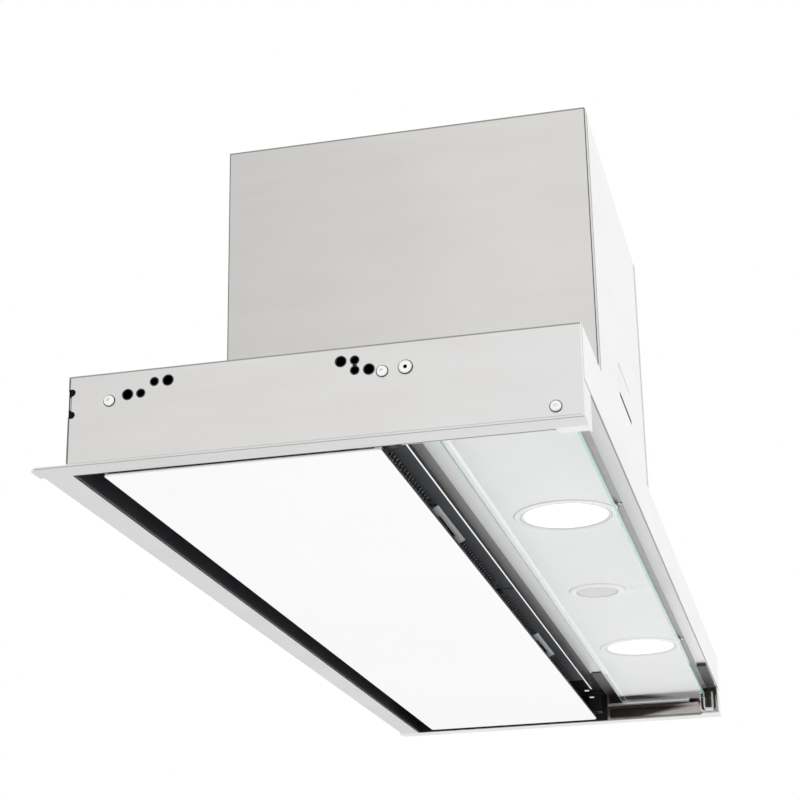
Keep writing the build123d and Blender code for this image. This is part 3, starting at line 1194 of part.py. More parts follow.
with BuildPart() as end_screws:
    for side in (-1, 1):
        for depth, height in SCREW_PLACES:
            screw((side * END, FRONT + depth, height), (-side, 0, 0), SCREW_HEAD_RADIUS, SCREW_LENGTH)
keep(end_screws, "end_screws")

with BuildPart() as rivet_nuts:
    for side in (-1, 1):
        nut_y = FRONT + NUT_PLACE[0]
        flange_middle = side * (END + NUT_FLANGE_THICKNESS / 2)
        rod((flange_middle, nut_y, NUT_PLACE[1]), NUT_FLANGE_RADIUS, NUT_FLANGE_THICKNESS, ALONG_X)
        rod((side * (END - NUT_LENGTH / 2), nut_y, NUT_PLACE[1]), NUT_RADIUS, NUT_LENGTH, ALONG_X)
        hole((side * END, nut_y, NUT_PLACE[1]), NUT_BORE_RADIUS, 4 * NUT_LENGTH, ALONG_X)
keep(rivet_nuts, "rivet_nuts")
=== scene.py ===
import json
import math

import bmesh
import bpy
from mathutils import Matrix, Vector


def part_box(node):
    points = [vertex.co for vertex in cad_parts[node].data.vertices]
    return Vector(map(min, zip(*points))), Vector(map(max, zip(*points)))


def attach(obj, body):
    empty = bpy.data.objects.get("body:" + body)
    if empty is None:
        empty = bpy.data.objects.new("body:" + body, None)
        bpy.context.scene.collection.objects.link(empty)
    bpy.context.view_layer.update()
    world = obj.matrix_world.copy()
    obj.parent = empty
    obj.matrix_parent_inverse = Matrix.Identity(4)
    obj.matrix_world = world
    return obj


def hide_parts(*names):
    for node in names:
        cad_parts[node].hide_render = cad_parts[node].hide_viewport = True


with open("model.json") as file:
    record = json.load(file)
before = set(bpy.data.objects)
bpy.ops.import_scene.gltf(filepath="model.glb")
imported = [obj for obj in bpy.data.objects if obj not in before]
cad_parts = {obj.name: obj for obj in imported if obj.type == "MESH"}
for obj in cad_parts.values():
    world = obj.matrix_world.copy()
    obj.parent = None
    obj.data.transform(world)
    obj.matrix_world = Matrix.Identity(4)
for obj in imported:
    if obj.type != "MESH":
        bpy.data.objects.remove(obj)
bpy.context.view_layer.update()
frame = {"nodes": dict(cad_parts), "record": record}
scene = bpy.context.scene
MM = 0.001

# Materials

GRAIN_HEIGHT = 0.06 * MM
PEBBLE_HEIGHT = 0.08 * MM
FROST_HEIGHT = 0.05 * MM
CELL_HEIGHT = 0.6 * MM


class Finish:
    """A procedural material: one Principled shader and the nodes that feed it."""

    def __init__(self, name, colour, rough, metal=0.0, **fixed):
        self.data = bpy.data.materials.new(name)
        self.data.use_nodes = True
        self.tree = self.data.node_tree
        self.shader = self.tree.nodes["Principled BSDF"]
        self.colour = colour
        self.shader.inputs["Base Color"].default_value = (*colour, 1.0)
        self.shader.inputs["Roughness"].default_value = rough
        self.shader.inputs["Metallic"].default_value = metal
        for socket, value in fixed.items():
            self.shader.inputs[socket.replace("_", " ")].default_value = value

    def node(self, kind, **values):
        made = self.tree.nodes.new("ShaderNode" + kind)
        for name, value in values.items():
            setattr(made, name, value)
        return made

    def feed(self, socket, value):
        if isinstance(value, bpy.types.NodeSocket):
            self.tree.links.new(value, socket)
        else:
            socket.default_value = value

    def place(self, stretch):
        """The row frame's coordinates, in metres at rest, times stretch."""
        scaled = self.node("Mapping")
        self.feed(scaled.inputs["Vector"], self.node("TexCoord").outputs["Object"])
        scaled.inputs["Scale"].default_value = stretch
        return scaled.outputs["Vector"]

    def along(self, axis):
        """One of the row frame's coordinates, in metres at rest."""
        made = self.node("SeparateXYZ")
        self.feed(made.inputs[0], self.place((1.0, 1.0, 1.0)))
        return made.outputs[axis]

    def noise(self, stretch, detail=3.0, rough=0.5):
        made = self.node("TexNoise")
        self.feed(made.inputs["Vector"], self.place(stretch))
        made.inputs["Scale"].default_value = 1.0
        made.inputs["Detail"].default_value = detail
        made.inputs["Roughness"].default_value = rough
        return made.outputs["Fac"]

    def spread(self, value, low, high, start=0.3, end=0.7):
        """low to high, as value goes from start to end."""
        made = self.node("MapRange")
        for name, number in (("From Min", start), ("From Max", end), ("To Min", low), ("To Max", high)):
            made.inputs[name].default_value = number
        self.feed(made.inputs["Value"], value)
        return made.outputs["Result"]

    def ramp(self, value, start, end):
        """0 to 1, as a coordinate goes from start to end, which are in mm."""
        return self.spread(value, 0.0, 1.0, start * MM, end * MM)

    def sum(self, first, second, operation="ADD"):
        made = self.node("Math", operation=operation)
        self.feed(made.inputs[0], first)
        self.feed(made.inputs[1], second)
        return made.outputs[0]

    def blend(self, share, first, second):
        made = self.node("Mix", data_type="RGBA")
        self.feed(made.inputs["Factor"], share)
        for name, value in (("A", first), ("B", second)):
            socket = [s for s in made.inputs if s.name == name and s.type == "RGBA"][0]
            self.feed(socket, value if isinstance(value, bpy.types.NodeSocket) else (*value, 1.0))
        return [s for s in made.outputs if s.type == "RGBA"][0]

    def tones(self, share, dark, light):
        """The finish's colour between two brightness factors."""
        return self.blend(share, [c * dark for c in self.colour], [c * light for c in self.colour])

    def band(self, tones, colour, *limits):
        """tones, turning to colour inside limits: (axis, start, end) in mm, from none to all of it."""
        inside = None
        for axis, start, end in limits:
            share = self.ramp(self.along(axis), start, end)
            inside = share if inside is None else self.sum(inside, share, "MULTIPLY")
        return self.blend(inside, tones, colour)

    def bump(self, height, strength, distance):
        made = self.node("Bump")
        made.inputs["Strength"].default_value = strength
        made.inputs["Distance"].default_value = distance
        self.feed(made.inputs["Height"], height)
        self.feed(self.shader.inputs["Normal"], made.outputs["Normal"])

    def paint(self, value):
        self.feed(self.shader.inputs["Base Color"], value)

    def gloss(self, value):
        self.feed(self.shader.inputs["Roughness"], value)


def brushed(name, colour, rough, grain, cloud=0.05, line=0.05, depth=0.12, warm=0.0, bands=()):
    """Rolled or brushed sheet. grain is the noise's scale on each axis: low along the brushing.
    cloud and line are the share of uneven tone, wide and fine. warm tints some smears.
    bands are (colour, limits...): dark seams, and painted shade and painted light at folds, cut edges and
    areas."""
    made = Finish(name, colour, rough, 1.0)
    lines = made.noise(grain, 2.0, 0.6)
    clouds = made.noise((5.0, 5.0, 9.0), 3.0, 0.55)
    smears = made.noise((16.0, 16.0, 60.0), 2.0)
    both = made.sum(made.spread(clouds, -cloud, cloud), made.spread(lines, -line, line, 0.35, 0.65))
    share = made.spread(both, 0.0, 1.0, -cloud - line, cloud + line)
    tones = made.tones(share, 1.0 - cloud - line, 1.0 + (cloud + line) / 3)
    if warm:
        tinted = [colour[0], colour[1] * (1 - warm / 2), colour[2] * (1 - warm)]
        tones = made.blend(made.spread(smears, 0.0, 0.5, 0.55, 0.75), tones, tinted)
    for band in bands:
        tones = made.band(tones, *band)
    made.paint(tones)
    worn = made.sum(made.spread(lines, -0.05, 0.06), made.spread(smears, -0.03, 0.05))
    made.gloss(made.sum(worn, rough))
    made.bump(lines, depth, GRAIN_HEIGHT)
    return made.data


def moulded(name, colour, rough, pitch=900.0, depth=0.25, dust=0.08, metal=0.0, specular=0.5, bands=()):
    """Plastic, powder coat or bright plating: fine pebbled texture with faint uneven tone.
    pitch is the pebbles' scale, dust the share of uneven tone, and bands are as for brushed."""
    made = Finish(name, colour, rough, metal)
    pebbles = made.noise((pitch, pitch, pitch), 2.0, 0.6)
    clouds = made.noise((22.0, 22.0, 22.0), 3.0)
    made.shader.inputs["Specular IOR Level"].default_value = specular
    tones = made.tones(made.spread(clouds, 0.0, 1.0), 1.0 - dust, 1.0 + dust)
    for band in bands:
        tones = made.band(tones, *band)
    made.paint(tones)
    made.gloss(made.sum(made.spread(pebbles, -0.06, 0.08), rough))
    made.bump(pebbles, depth, PEBBLE_HEIGHT)
    return made.data


def grey(level):
    return level, level, level


ALONG_Y = (900.0, 14.0, 1300.0)
ALONG_X = (14.0, 900.0, 1300.0)
UPRIGHT = (14.0, 14.0, 1300.0)
PALE_PAINT = (0.15, 0.16, 0.175)

# The stainless parts are one steel; the base tones of the front plate, end panels, box and trims differ part
# by part as painted light and painted shade.
BRUSHED = {
    "box_steel": dict(
        colour=(0.735, 0.727, 0.708), rough=0.42, grain=UPRIGHT, line=0.02, depth=0.05, warm=0.05, bands=[
            ((0.620, 0.612, 0.598), ("Y", -120.0, 60.0)),  # painted shade: darker towards the back
            (grey(0.20), ("Y", 66.9, 67.1)),  # dark line along the rear corner: painted shade
            (grey(0.30), ("Z", 225.9, 226.1)),  # dark line along the top fold: painted shade
            (grey(0.10), ("Y", -159.3, -159.5), ("X", -373.6, -373.8)),  # seams beside the front plate
            (grey(0.10), ("Y", -159.3, -159.5), ("X", -126.4, -126.2)),
        ]),
    "body_steel": dict(
        colour=(0.795, 0.788, 0.785), rough=0.40, grain=UPRIGHT, cloud=0.02, line=0.015, depth=0.05,
        warm=0.02, bands=[
            ((0.715, 0.708, 0.695), ("Y", -140.0, 130.0)),  # painted shade: darker towards the back
            (grey(0.20), ("Y", 138.8, 139.0)),  # dark line along the rear edge: painted shade
            (grey(0.34), ("Z", 56.0, 56.2)),  # dark line along the top fold: painted shade
            ((0.62, 0.62, 0.61), ("Z", 4.2, 3.9), ("Y", -158.0, -157.8)),  # foot, above the trim: a darker line of painted shade and grime along the joint
            ((0.92, 0.915, 0.90), ("Y", -159.3, -159.5)),  # front edge: painted light, brighter than the side
        ]),
    "front_steel": dict(
        colour=(0.955, 0.955, 0.965), rough=0.36, grain=ALONG_X, cloud=0.02, line=0.015, depth=0.05, bands=[
            ((0.74, 0.73, 0.72), ("Y", -159.3, -159.0), ("Z", 25.6, 25.3)),  # soffit: painted shade, darker than the front
            # right part of the soffit: painted light
            ((0.97, 0.94, 0.93), ("Y", -159.3, -159.0), ("Z", 25.6, 25.3), ("X", 0.0, 300.0)),
            (grey(0.30), ("Z", 25.3, 25.0), ("Y", -159.0, -159.2)),  # lower fold: dark line of painted shade
            (grey(0.10), ("X", -440.6, -440.8), ("Z", 24.6, 24.8), ("Z", 57.2, 57.0)),  # left edge
            (grey(0.10), ("X", -363.5, -363.7), ("Z", 57.4, 57.6)),  # edges of the upright part
            (grey(0.10), ("X", -136.5, -136.3), ("Z", 57.4, 57.6)),
            # the slot of the lanced tab, painted dark as the shade inside it
            (grey(0.05), ("Z", 78.1, 78.0), ("Z", 75.1, 75.3), ("X", -272.1, -272.0), ("X", -213.9, -214.0)),
        ]),
    "trim_steel": dict(
        colour=(0.800, 0.798, 0.795), rough=0.38, grain=ALONG_Y, cloud=0.02, line=0.02, depth=0.05, bands=[
            ((0.735, 0.733, 0.728), ("Y", -120.0, 60.0)),  # painted shade: darker towards the back
            ((0.93, 0.925, 0.91), ("Y", -141.6, -141.9), ("X", -434.2, -434.0)),  # front end: painted light
            (grey(0.45), ("Z", 0.5, 0.3), ("X", -448.3, -448.5)),  # lower arris: dark line of painted shade
        ]),
    # A brighter copy of trim_steel for the right trim strip: painted light.
    "right_trim_lit_steel": dict(
        colour=grey(0.90), rough=0.38, grain=ALONG_Y, cloud=0.02, line=0.02, depth=0.05),
    "plain_steel": dict(colour=grey(0.70), rough=0.42, grain=ALONG_X, line=0.03),
    "guide_steel": dict(colour=(0.66, 0.66, 0.655), rough=0.36, grain=ALONG_Y, line=0.03),
    "runner_steel": dict(colour=(0.74, 0.74, 0.735), rough=0.28, grain=ALONG_Y, cloud=0.06, line=0.04),
    "latch_grey": dict(colour=(0.80, 0.81, 0.81), rough=0.34, grain=ALONG_X, line=0.04),
    "zinc_steel": dict(colour=(0.60, 0.61, 0.62), rough=0.38, grain=(300.0, 300.0, 300.0), cloud=0.12),
    "screw_steel": dict(colour=(0.66, 0.655, 0.65), rough=0.30, grain=(700.0, 700.0, 700.0), cloud=0.10),
    # Screw steel drawn brighter for the end screws and nuts: painted light.
    "screw_steel_lit": dict(colour=(0.94, 0.94, 0.93), rough=0.22, grain=(700.0, 700.0, 700.0), line=0.03),
    "pin_steel": dict(colour=(0.62, 0.62, 0.64), rough=0.28, grain=(14.0, 900.0, 900.0)),
    "highlight_edge": dict(colour=(0.95, 0.95, 0.94), rough=0.20, grain=ALONG_Y, cloud=0.04, line=0.03),
    "can_aluminium": dict(
        colour=(0.66, 0.66, 0.67), rough=0.50, grain=(500.0, 500.0, 500.0), cloud=0.10, line=0.06),
}
MOULDED = {
    # Chrome trims and bezel drawn as a pale non-metal gloss: a painted reflection of the white stage.
    "lamp_chrome": dict(colour=grey(0.97), rough=0.22, pitch=1500.0, depth=0.04, dust=0.01),
    "bezel_chrome": dict(colour=grey(0.97), rough=0.22, pitch=1500.0, depth=0.04, dust=0.01),
    "polish_and_highlight": dict(colour=grey(0.97), rough=0.18, depth=0.03, dust=0.02, metal=1.0),
    "expanded_highlight": dict(colour=grey(0.97), rough=0.30, depth=0.05, dust=0.03),
    "expanded_shade": dict(colour=(0.03, 0.031, 0.034), rough=0.5, specular=0.2),
    "motor_metal": dict(colour=(0.10, 0.105, 0.115), rough=0.42, pitch=700.0, depth=0.15, metal=0.6),
    "lamp_plate_paint": dict(
        colour=(0.90, 0.905, 0.895), rough=0.34, pitch=1500.0, depth=0.06, dust=0.01, metal=0.05, bands=[
            ((0.40, 0.39, 0.385), ("Y", -144.3, -144.6)),  # step before the front band: painted shade
            ((0.10, 0.13, 0.115), ("Y", -154.2, -154.5)),  # front band, in shade
        ]),
    "carrier_black": dict(
        colour=(0.034, 0.036, 0.041), rough=0.55, pitch=600.0, depth=0.3, dust=0.12, specular=0.15, bands=[
            (PALE_PAINT, ("Y", -29.5, -29.8), ("X", -17.0, -16.5), ("X", 17.0, 16.5)),  # between the filters
            ((0.016, 0.015, 0.015), ("X", 300.0, 330.0)),  # right end, in shade
            (PALE_PAINT, ("Y", -29.5, -29.8), ("X", -345.0, -345.5)),  # left of the filters
        ]),
    "filter_grey": dict(
        colour=PALE_PAINT, rough=0.45, pitch=1100.0, depth=0.18, dust=0.10, specular=0.2, bands=[
            ((0.25, 0.265, 0.28), ("Y", -42.0, -49.0)),  # front edge
        ]),
    "tray_black": dict(colour=(0.014, 0.014, 0.016), rough=0.45),
    "catch_plastic": dict(colour=(0.016, 0.015, 0.014), rough=0.45, specular=0.2),
    "button_grey": dict(
        colour=(0.62, 0.58, 0.54), rough=0.34, pitch=1600.0, depth=0.1, dust=0.03, metal=0.5),
    "window_plastic": dict(colour=(0.95, 0.95, 0.955), rough=0.22, pitch=1600.0, depth=0.05, dust=0.02),
    "dark_plastic": dict(colour=(0.035, 0.030, 0.028), rough=0.40),
    "scroll_plastic": dict(colour=(0.045, 0.045, 0.05), rough=0.48),
    "impeller_plastic": dict(colour=(0.10, 0.10, 0.11), rough=0.46),
    "capacitor_white": dict(colour=(0.74, 0.74, 0.72), rough=0.36),
    "collar_plastic": dict(colour=(0.022, 0.022, 0.024), rough=0.44),
    "control_plastic": dict(colour=(0.018, 0.018, 0.02), rough=0.50),
    "board_green": dict(colour=(0.02, 0.10, 0.04), rough=0.30, pitch=500.0, depth=0.2, dust=0.2),
    "terminal_plastic": dict(colour=(0.72, 0.70, 0.64), rough=0.42),
    "gland_plastic": dict(colour=grey(0.016), rough=0.45),
    # Grey painted shade in the gaps round the lamp trims and the bezel.
    "gap_shade_grey": dict(colour=grey(0.26), rough=0.55),
    # Dark painted shade: rings round the screws, the rivet nuts and the holes.
    "painted_shade_dark": dict(colour=(0.035, 0.035, 0.037), rough=0.6),
    "notch_blue": dict(colour=(0.42, 0.45, 0.56), rough=0.4),
    # Black painted shade filling the rear notches.
    "notch_shade_black": dict(colour=grey(0.004), rough=0.6, specular=0.1),
    "panel_edge": dict(colour=(0.007, 0.008, 0.009), rough=0.35, specular=0.2),
}


def partition_shade_finish():
    """Painted shade and reflection on the sheet: black along its foot, dark above it and clearing towards
    the lamp plate, darker towards the right, over a bright hem.
    """
    made = Finish("partition_steel", (0.30, 0.295, 0.285), 0.42, 0.0, Specular_IOR_Level=0.08)
    height, across = made.along("Z"), made.along("X")
    lines = made.noise(ALONG_X, 2.0, 0.6)
    uneven = made.sum(height, made.spread(lines, -0.5 * MM, 0.5 * MM))
    left = made.blend(made.ramp(uneven, 10.5, 15.0), (0.085, 0.083, 0.080), (0.155, 0.152, 0.148))
    left = made.blend(made.ramp(uneven, 15.0, 25.0), left, made.colour)
    right = made.blend(made.ramp(uneven, 14.0, 25.0), (0.020, 0.019, 0.018), (0.17, 0.165, 0.16))
    wall = made.blend(made.ramp(across, -200.0, 160.0), left, right)
    foot = made.blend(made.ramp(height, 10.1, 11.0), grey(0.004), wall)
    hem = made.sum(made.ramp(height, 8.9, 8.7), made.ramp(made.along("Y"), -52.8, -52.6), "MULTIPLY")
    made.paint(made.blend(hem, foot, (0.93, 0.94, 0.95)))
    made.feed(made.shader.inputs["Metallic"], hem)
    made.gloss(made.spread(hem, 0.45, 0.18, 0.0, 1.0))
    made.bump(lines, 0.05, GRAIN_HEIGHT)
    return made.data


def shaded_guide_finish():
    """The right guide: painted shade where it runs back and up, bare steel towards its front foot."""
    made = Finish("right_guide_painted_shade", (0.62, 0.58, 0.57), 0.36, 1.0)
    lines = made.noise(ALONG_Y, 2.0, 0.6)
    front = made.spread(made.along("Y"), 2.85, 0.0, -140.0 * MM, -83.0 * MM)
    rise = made.spread(made.along("Z"), 0.0, 4.0, 2.0 * MM, 17.2 * MM)
    share = made.sum(made.sum(front, rise, "SUBTRACT"), made.spread(lines, -0.08, 0.08))
    clamped = made.spread(share, 0.0, 1.0, 0.0, 1.0)
    made.paint(made.blend(clamped, (0.055, 0.046, 0.043), made.colour))
    made.gloss(made.sum(made.spread(lines, -0.04, 0.05), 0.34))
    made.bump(lines, 0.05, GRAIN_HEIGHT)
    return made.data


def mesh_finish():
    """Layers of bright strands with dark gaps between them."""
    made = Finish("mesh_aluminium", grey(0.50), 0.36, 0.9)
    cells = made.node("TexVoronoi", feature="DISTANCE_TO_EDGE")
    made.feed(cells.inputs["Vector"], made.place((330.0, 480.0, 480.0)))
    cells.inputs["Scale"].default_value = 1.0
    share = made.spread(cells.outputs["Distance"], 0.0, 1.0, 0.18, 0.30)
    made.paint(made.blend(share, grey(0.34), (0.01, 0.01, 0.011)))
    made.gloss(made.spread(cells.outputs["Distance"], 0.30, 0.6, 0.1, 0.4))
    made.bump(made.sum(1.0, share, "SUBTRACT"), 0.8, CELL_HEIGHT)
    return made.data


def lens_finish():
    """Frosted lens, lit from behind."""
    made = Finish("lens_frosted", (0.92, 0.92, 0.91), 0.45, Emission_Strength=0.9)
    frost = made.noise((1400.0, 1400.0, 1400.0), 2.0)
    made.paint(made.tones(made.spread(frost, 0.0, 1.0), 0.96, 1.0))
    glow = made.blend(frost, (1.0, 0.99, 0.97), (0.97, 0.97, 0.96))
    made.feed(made.shader.inputs["Emission Color"], glow)
    made.bump(frost, 0.2, FROST_HEIGHT)
    return made.data


def clear_glass():
    made = Finish("visor_glass", (0.99, 1.0, 0.995), 0.0, 0.0, Transmission_Weight=1.0, IOR=1.5)
    film = made.noise((9.0, 14.0, 9.0), 3.0)
    made.gloss(made.spread(film, 0.0, 0.02, 0.4, 0.8))
    made.paint(made.blend(film, (0.993, 1.0, 0.998), (0.982, 0.996, 0.992)))
    return made.data


def glass_edge():
    """The ground edge of the visor, where the glass shows its green."""
    light, deep = (0.40, 0.74, 0.66), (0.24, 0.60, 0.52)
    made = Finish("visor_edge", light, 0.25, 0.0, Coat_Weight=0.5)
    wander = made.noise((40.0, 40.0, 1500.0), 2.0)
    made.paint(made.blend(made.spread(wander, 0.0, 1.0), light, deep))
    made.bump(made.noise((1800.0, 1800.0, 1800.0), 1.0), 0.15, FROST_HEIGHT)
    return made.data


def backed_glass():
    """White glass, with a faint film on its gloss."""
    made = Finish("panel_white", (0.975, 0.975, 0.98), 0.06, 0.0, Coat_Weight=1.0, Coat_Roughness=0.03)
    film = made.noise((7.0, 7.0, 7.0), 3.0)
    made.paint(made.tones(made.spread(film, 0.0, 1.0), 0.985, 1.0))
    made.gloss(made.spread(film, 0.04, 0.10))
    return made.data


finishes = {
    "partition_steel": partition_shade_finish(), "right_guide_painted_shade": shaded_guide_finish(),
    "mesh_aluminium": mesh_finish(), "lens_frosted": lens_finish(),
    "visor_glass": clear_glass(), "visor_edge": glass_edge(), "panel_white": backed_glass(),
}
finishes.update({name: brushed(name, **values) for name, values in BRUSHED.items()})
finishes.update({name: moulded(name, **values) for name, values in MOULDED.items()})
# Copies of a slot's finish for single parts: the right guide with painted shade, the right trim strip with
# painted light.
lit_and_shaded_copies = {"right_guide_bracket": "right_guide_painted_shade", "right_trim_strip": "right_trim_lit_steel"}

for part in frame["record"]["subparts"]:
    node = frame["nodes"][part["node"]]
    node.data.materials.clear()
    node.data.materials.append(finishes[lit_and_shaded_copies.get(part["node"], part["material_slot"])])

# How a piece is made

HEAD_SEGMENTS = 32
SHANK_SEGMENTS = 20
LAMP_SEGMENTS = 96


def piece(name, mesh, body, looks, smooth=30):
    """A new object from a bmesh in the row frame, riding on a body. looks are names of finishes."""
    data = bpy.data.meshes.new(name)
    bmesh.ops.recalc_face_normals(mesh, faces=mesh.faces)
    mesh.to_mesh(data)
    mesh.free()
    made = bpy.data.objects.new(name, data)
    scene.collection.objects.link(made)
    for look in looks:
        data.materials.append(finishes[look])
    if smooth:
        for face in data.polygons:
            face.use_smooth = True
        data.set_sharp_from_angle(angle=math.radians(smooth))
    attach(made, body)
    return made


def soften(made, width, segments=2, angle=35):
    bevel = made.modifiers.new("edges", "BEVEL")
    bevel.width, bevel.segments = width, segments
    bevel.limit_method, bevel.angle_limit = "ANGLE", math.radians(angle)
    bevel.harden_normals = True
    return made


def bridge(mesh, first, second, index=0):
    """Faces between two closed loops, in the material of that index."""
    for i in range(len(first)):
        j = (i + 1) % len(first)
        mesh.faces.new((first[i], first[j], second[j], second[i])).material_index = index


def extruded(points, low, high):
    """A bmesh prism over a closed outline of x, y points."""
    mesh = bmesh.new()
    lower = [mesh.verts.new((x, y, low)) for x, y in points]
    upper = [mesh.verts.new((x, y, high)) for x, y in points]
    mesh.faces.new(lower[::-1])
    mesh.faces.new(upper)
    bridge(mesh, lower, upper)
    return mesh


def slab(mesh, x, y, z):
    """A box between two limits on each axis."""
    corners = [mesh.verts.new((a, b, c)) for a in x for b in y for c in z]
    bmesh.ops.convex_hull(mesh, input=corners)


def facing(centre, out):
    """A place at centre, with its Z axis pointing out."""
    turn = Vector(out).to_track_quat("Z", "Y").to_matrix().to_4x4()
    return Matrix.Translation(centre) @ turn


def circle(mesh, place, radius, rise, count):
    """A closed loop round a place's Z axis."""
    return [
        mesh.verts.new(place @ Vector((
            radius * math.cos(2 * math.pi * i / count), radius * math.sin(2 * math.pi * i / count), rise)))
        for i in range(count)
    ]


def ring_on(mesh, place, inner, outer, height, index):
    """A thin flat ring lying on a place, in the material of that index."""
    profile = ((inner, 0.0), (inner, height), (outer, height), (outer, 0.0))
    loops = [circle(mesh, place, radius, rise, HEAD_SEGMENTS) for radius, rise in profile]
    for first, second in zip(loops, loops[1:] + loops[:1]):
        bridge(mesh, first, second, index)


def islands(node):
    """The lowest and highest corner of each separate solid of a CAD node."""
    mesh = bmesh.new()
    mesh.from_mesh(frame["nodes"][node].data)
    bmesh.ops.remove_doubles(mesh, verts=mesh.verts, dist=1e-6)
    left, found = set(mesh.verts), []
    while left:
        group, front = set(), [left.pop()]
        while front:
            vert = front.pop()
            group.add(vert)
            for edge in vert.link_edges:
                other = edge.other_vert(vert)
                if other in left:
                    left.discard(other)
                    front.append(other)
        points = [v.co for v in group]
        lowest = Vector([min(p[k] for p in points) for k in range(3)])
        highest = Vector([max(p[k] for p in points) for k in range(3)])
        found.append((lowest, highest))
    mesh.free()
    return sorted(found, key=lambda pair: tuple(pair[0]))


# Glass panes


def pane(name, points, low, high, node, body, looks, arris, arris_index):
    """A glass pane with seamed edges. looks: its faces' finish, which names its slot, and its edges'."""
    made = piece(name, extruded(points, low, high), body, looks, 0)
    for polygon in made.data.polygons:
        polygon.material_index = 0 if abs(polygon.normal.z) > 0.9 else 1
    soften(made, arris, 3).modifiers["edges"].material = arris_index
    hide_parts(node)


VISOR_CORNER = 1.5 * MM
VISOR_ARRIS = 0.45 * MM
RUNNER_GAP = 0.6 * MM
NOTCH_DEPTH = 18 * MM
low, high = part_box("visor_glass")
notch_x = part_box("right_visor_runner")[0].x - RUNNER_GAP
notch_y = low.y + NOTCH_DEPTH
cut = VISOR_CORNER
visor_outline = [
    (low.x + cut, low.y), (notch_x - cut, low.y), (notch_x, low.y + cut),
    (notch_x, notch_y), (high.x - cut, notch_y), (high.x, notch_y + cut),
    (high.x, high.y - cut), (high.x - cut, high.y), (low.x + cut, high.y),
    (low.x, high.y - cut), (low.x, low.y + cut),
]
pane("visor_pane", visor_outline, low.z, high.z, "visor_glass", "visor",
     ["visor_glass", "visor_edge"], VISOR_ARRIS, 1)

# A painted highlight: a bright strip along the rear of the visor's top face, for the glint on its rear
# arris. Its distances from the pane's ends, from its rear edge and above its face
LINE_ENDS = (4 * MM, 9 * MM)
LINE_BEFORE_REAR = (5.4 * MM, 3.4 * MM)
LINE_ABOVE = (0.02 * MM, 0.1 * MM)
line = bmesh.new()
slab(line, (low.x + LINE_ENDS[0], high.x - LINE_ENDS[1]), [high.y - gap for gap in LINE_BEFORE_REAR],
     [high.z + rise for rise in LINE_ABOVE])
piece("visor_highlight_line", line, "visor", ["polish_and_highlight"], 0)

PANEL_CORNER = 2 * MM
PANEL_ARRIS = 1.3 * MM
low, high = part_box("panel_glass")
cut = PANEL_CORNER
panel_outline = [
    (low.x + cut, low.y), (high.x - cut, low.y), (high.x, low.y + cut),
    (high.x, high.y - cut), (high.x - cut, high.y), (low.x + cut, high.y),
    (low.x, high.y - cut), (low.x, low.y + cut),
]
pane("panel_pane", panel_outline, low.z, high.z, "panel_glass", "panel",
     ["panel_white", "panel_edge"], PANEL_ARRIS, 0)

# Expanded metal over each filter's mesh

HALF_PITCH = 3.4 * MM
ROW = 1.5 * MM
HALF_WIDTH = 0.58 * MM
TILT = 0.34 * MM
SHEET = 0.4 * MM
LATTICE_RISE = 0.6 * MM
BRIGHT_END = 0.22  # in every second row, the share of a rising strand that is painted bright, at each end, as a painted highlight
FRAME_RIM = 15.2 * MM
FRONT_RIM = 20.0 * MM
LATCH_GAP = (1.4 * MM, 7 * MM)  # beside it and behind it


def expanded(name, x, y, z, keep_x, keep_y):
    """Zigzag strands between limits, tilted as slit and stretched sheet is, with none round the latch:
    between the two keep_x in front of keep_y. Strands that rise towards the back are painted bright, a
    painted highlight, and the others dark, painted shade."""
    mesh = bmesh.new()
    steps = int((x[1] - x[0]) / HALF_PITCH)
    rows = int((y[1] - y[0] - 2 * HALF_WIDTH) / ROW)
    start_x = (x[0] + x[1] - steps * HALF_PITCH) / 2
    start_y = (y[0] + y[1] - rows * ROW) / 2

    def across(place_x, place_y):
        return (mesh.verts.new((place_x, place_y - HALF_WIDTH, z + TILT)),
                mesh.verts.new((place_x, place_y + HALF_WIDTH, z - TILT)))

    for k in range(rows):
        last = None
        for i in range(steps + 1):
            place_x = start_x + i * HALF_PITCH
            place_y = start_y + (k + (i + k) % 2) * ROW
            if keep_x[0] < place_x < keep_x[1] and place_y < keep_y:
                last = None
                continue
            pair = across(place_x, place_y)
            if last:
                rises = (i + k) % 2 == 1
                if rises and k % 2:
                    first, second = (across(place_x - share * HALF_PITCH, place_y - share * ROW)
                                     for share in (1 - BRIGHT_END, BRIGHT_END))
                    runs = ((last, first, 0), (first, second, 1), (second, pair, 0))
                else:
                    runs = ((last, pair, 0 if rises else 1),)
                for start, end, index in runs:
                    mesh.faces.new((start[0], end[0], end[1], start[1])).material_index = index
            last = pair
    loose = [v for v in mesh.verts if not v.link_faces]
    bmesh.ops.delete(mesh, geom=loose, context="VERTS")
    made = piece(name, mesh, "hood", ["expanded_highlight", "expanded_shade"], 0)
    thick = made.modifiers.new("thickness", "SOLIDIFY")
    thick.thickness, thick.offset = SHEET, 0.0


for side in ("left", "right"):
    low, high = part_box(side + "_filter_frame")
    latch_low, latch_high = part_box(side + "_filter_latch")
    expanded(
        side + "_filter_lattice",
        (low.x + FRAME_RIM, high.x - FRAME_RIM), (low.y + FRONT_RIM, high.y - FRAME_RIM),
        low.z + LATTICE_RISE,
        (latch_low.x - LATCH_GAP[0], latch_high.x + LATCH_GAP[0]), latch_high.y + LATCH_GAP[1],
    )

# A sloped lip under each latch's grip, which catches the light

LIP_INSET = 22.0 * MM
LIP_SLOPE = 0.55
LIP_SECTIONS = ((-43, 6.2), (-29, 6.2), (-24, 3.1), (24, 3.1), (29, 6.2), (43, 6.2))


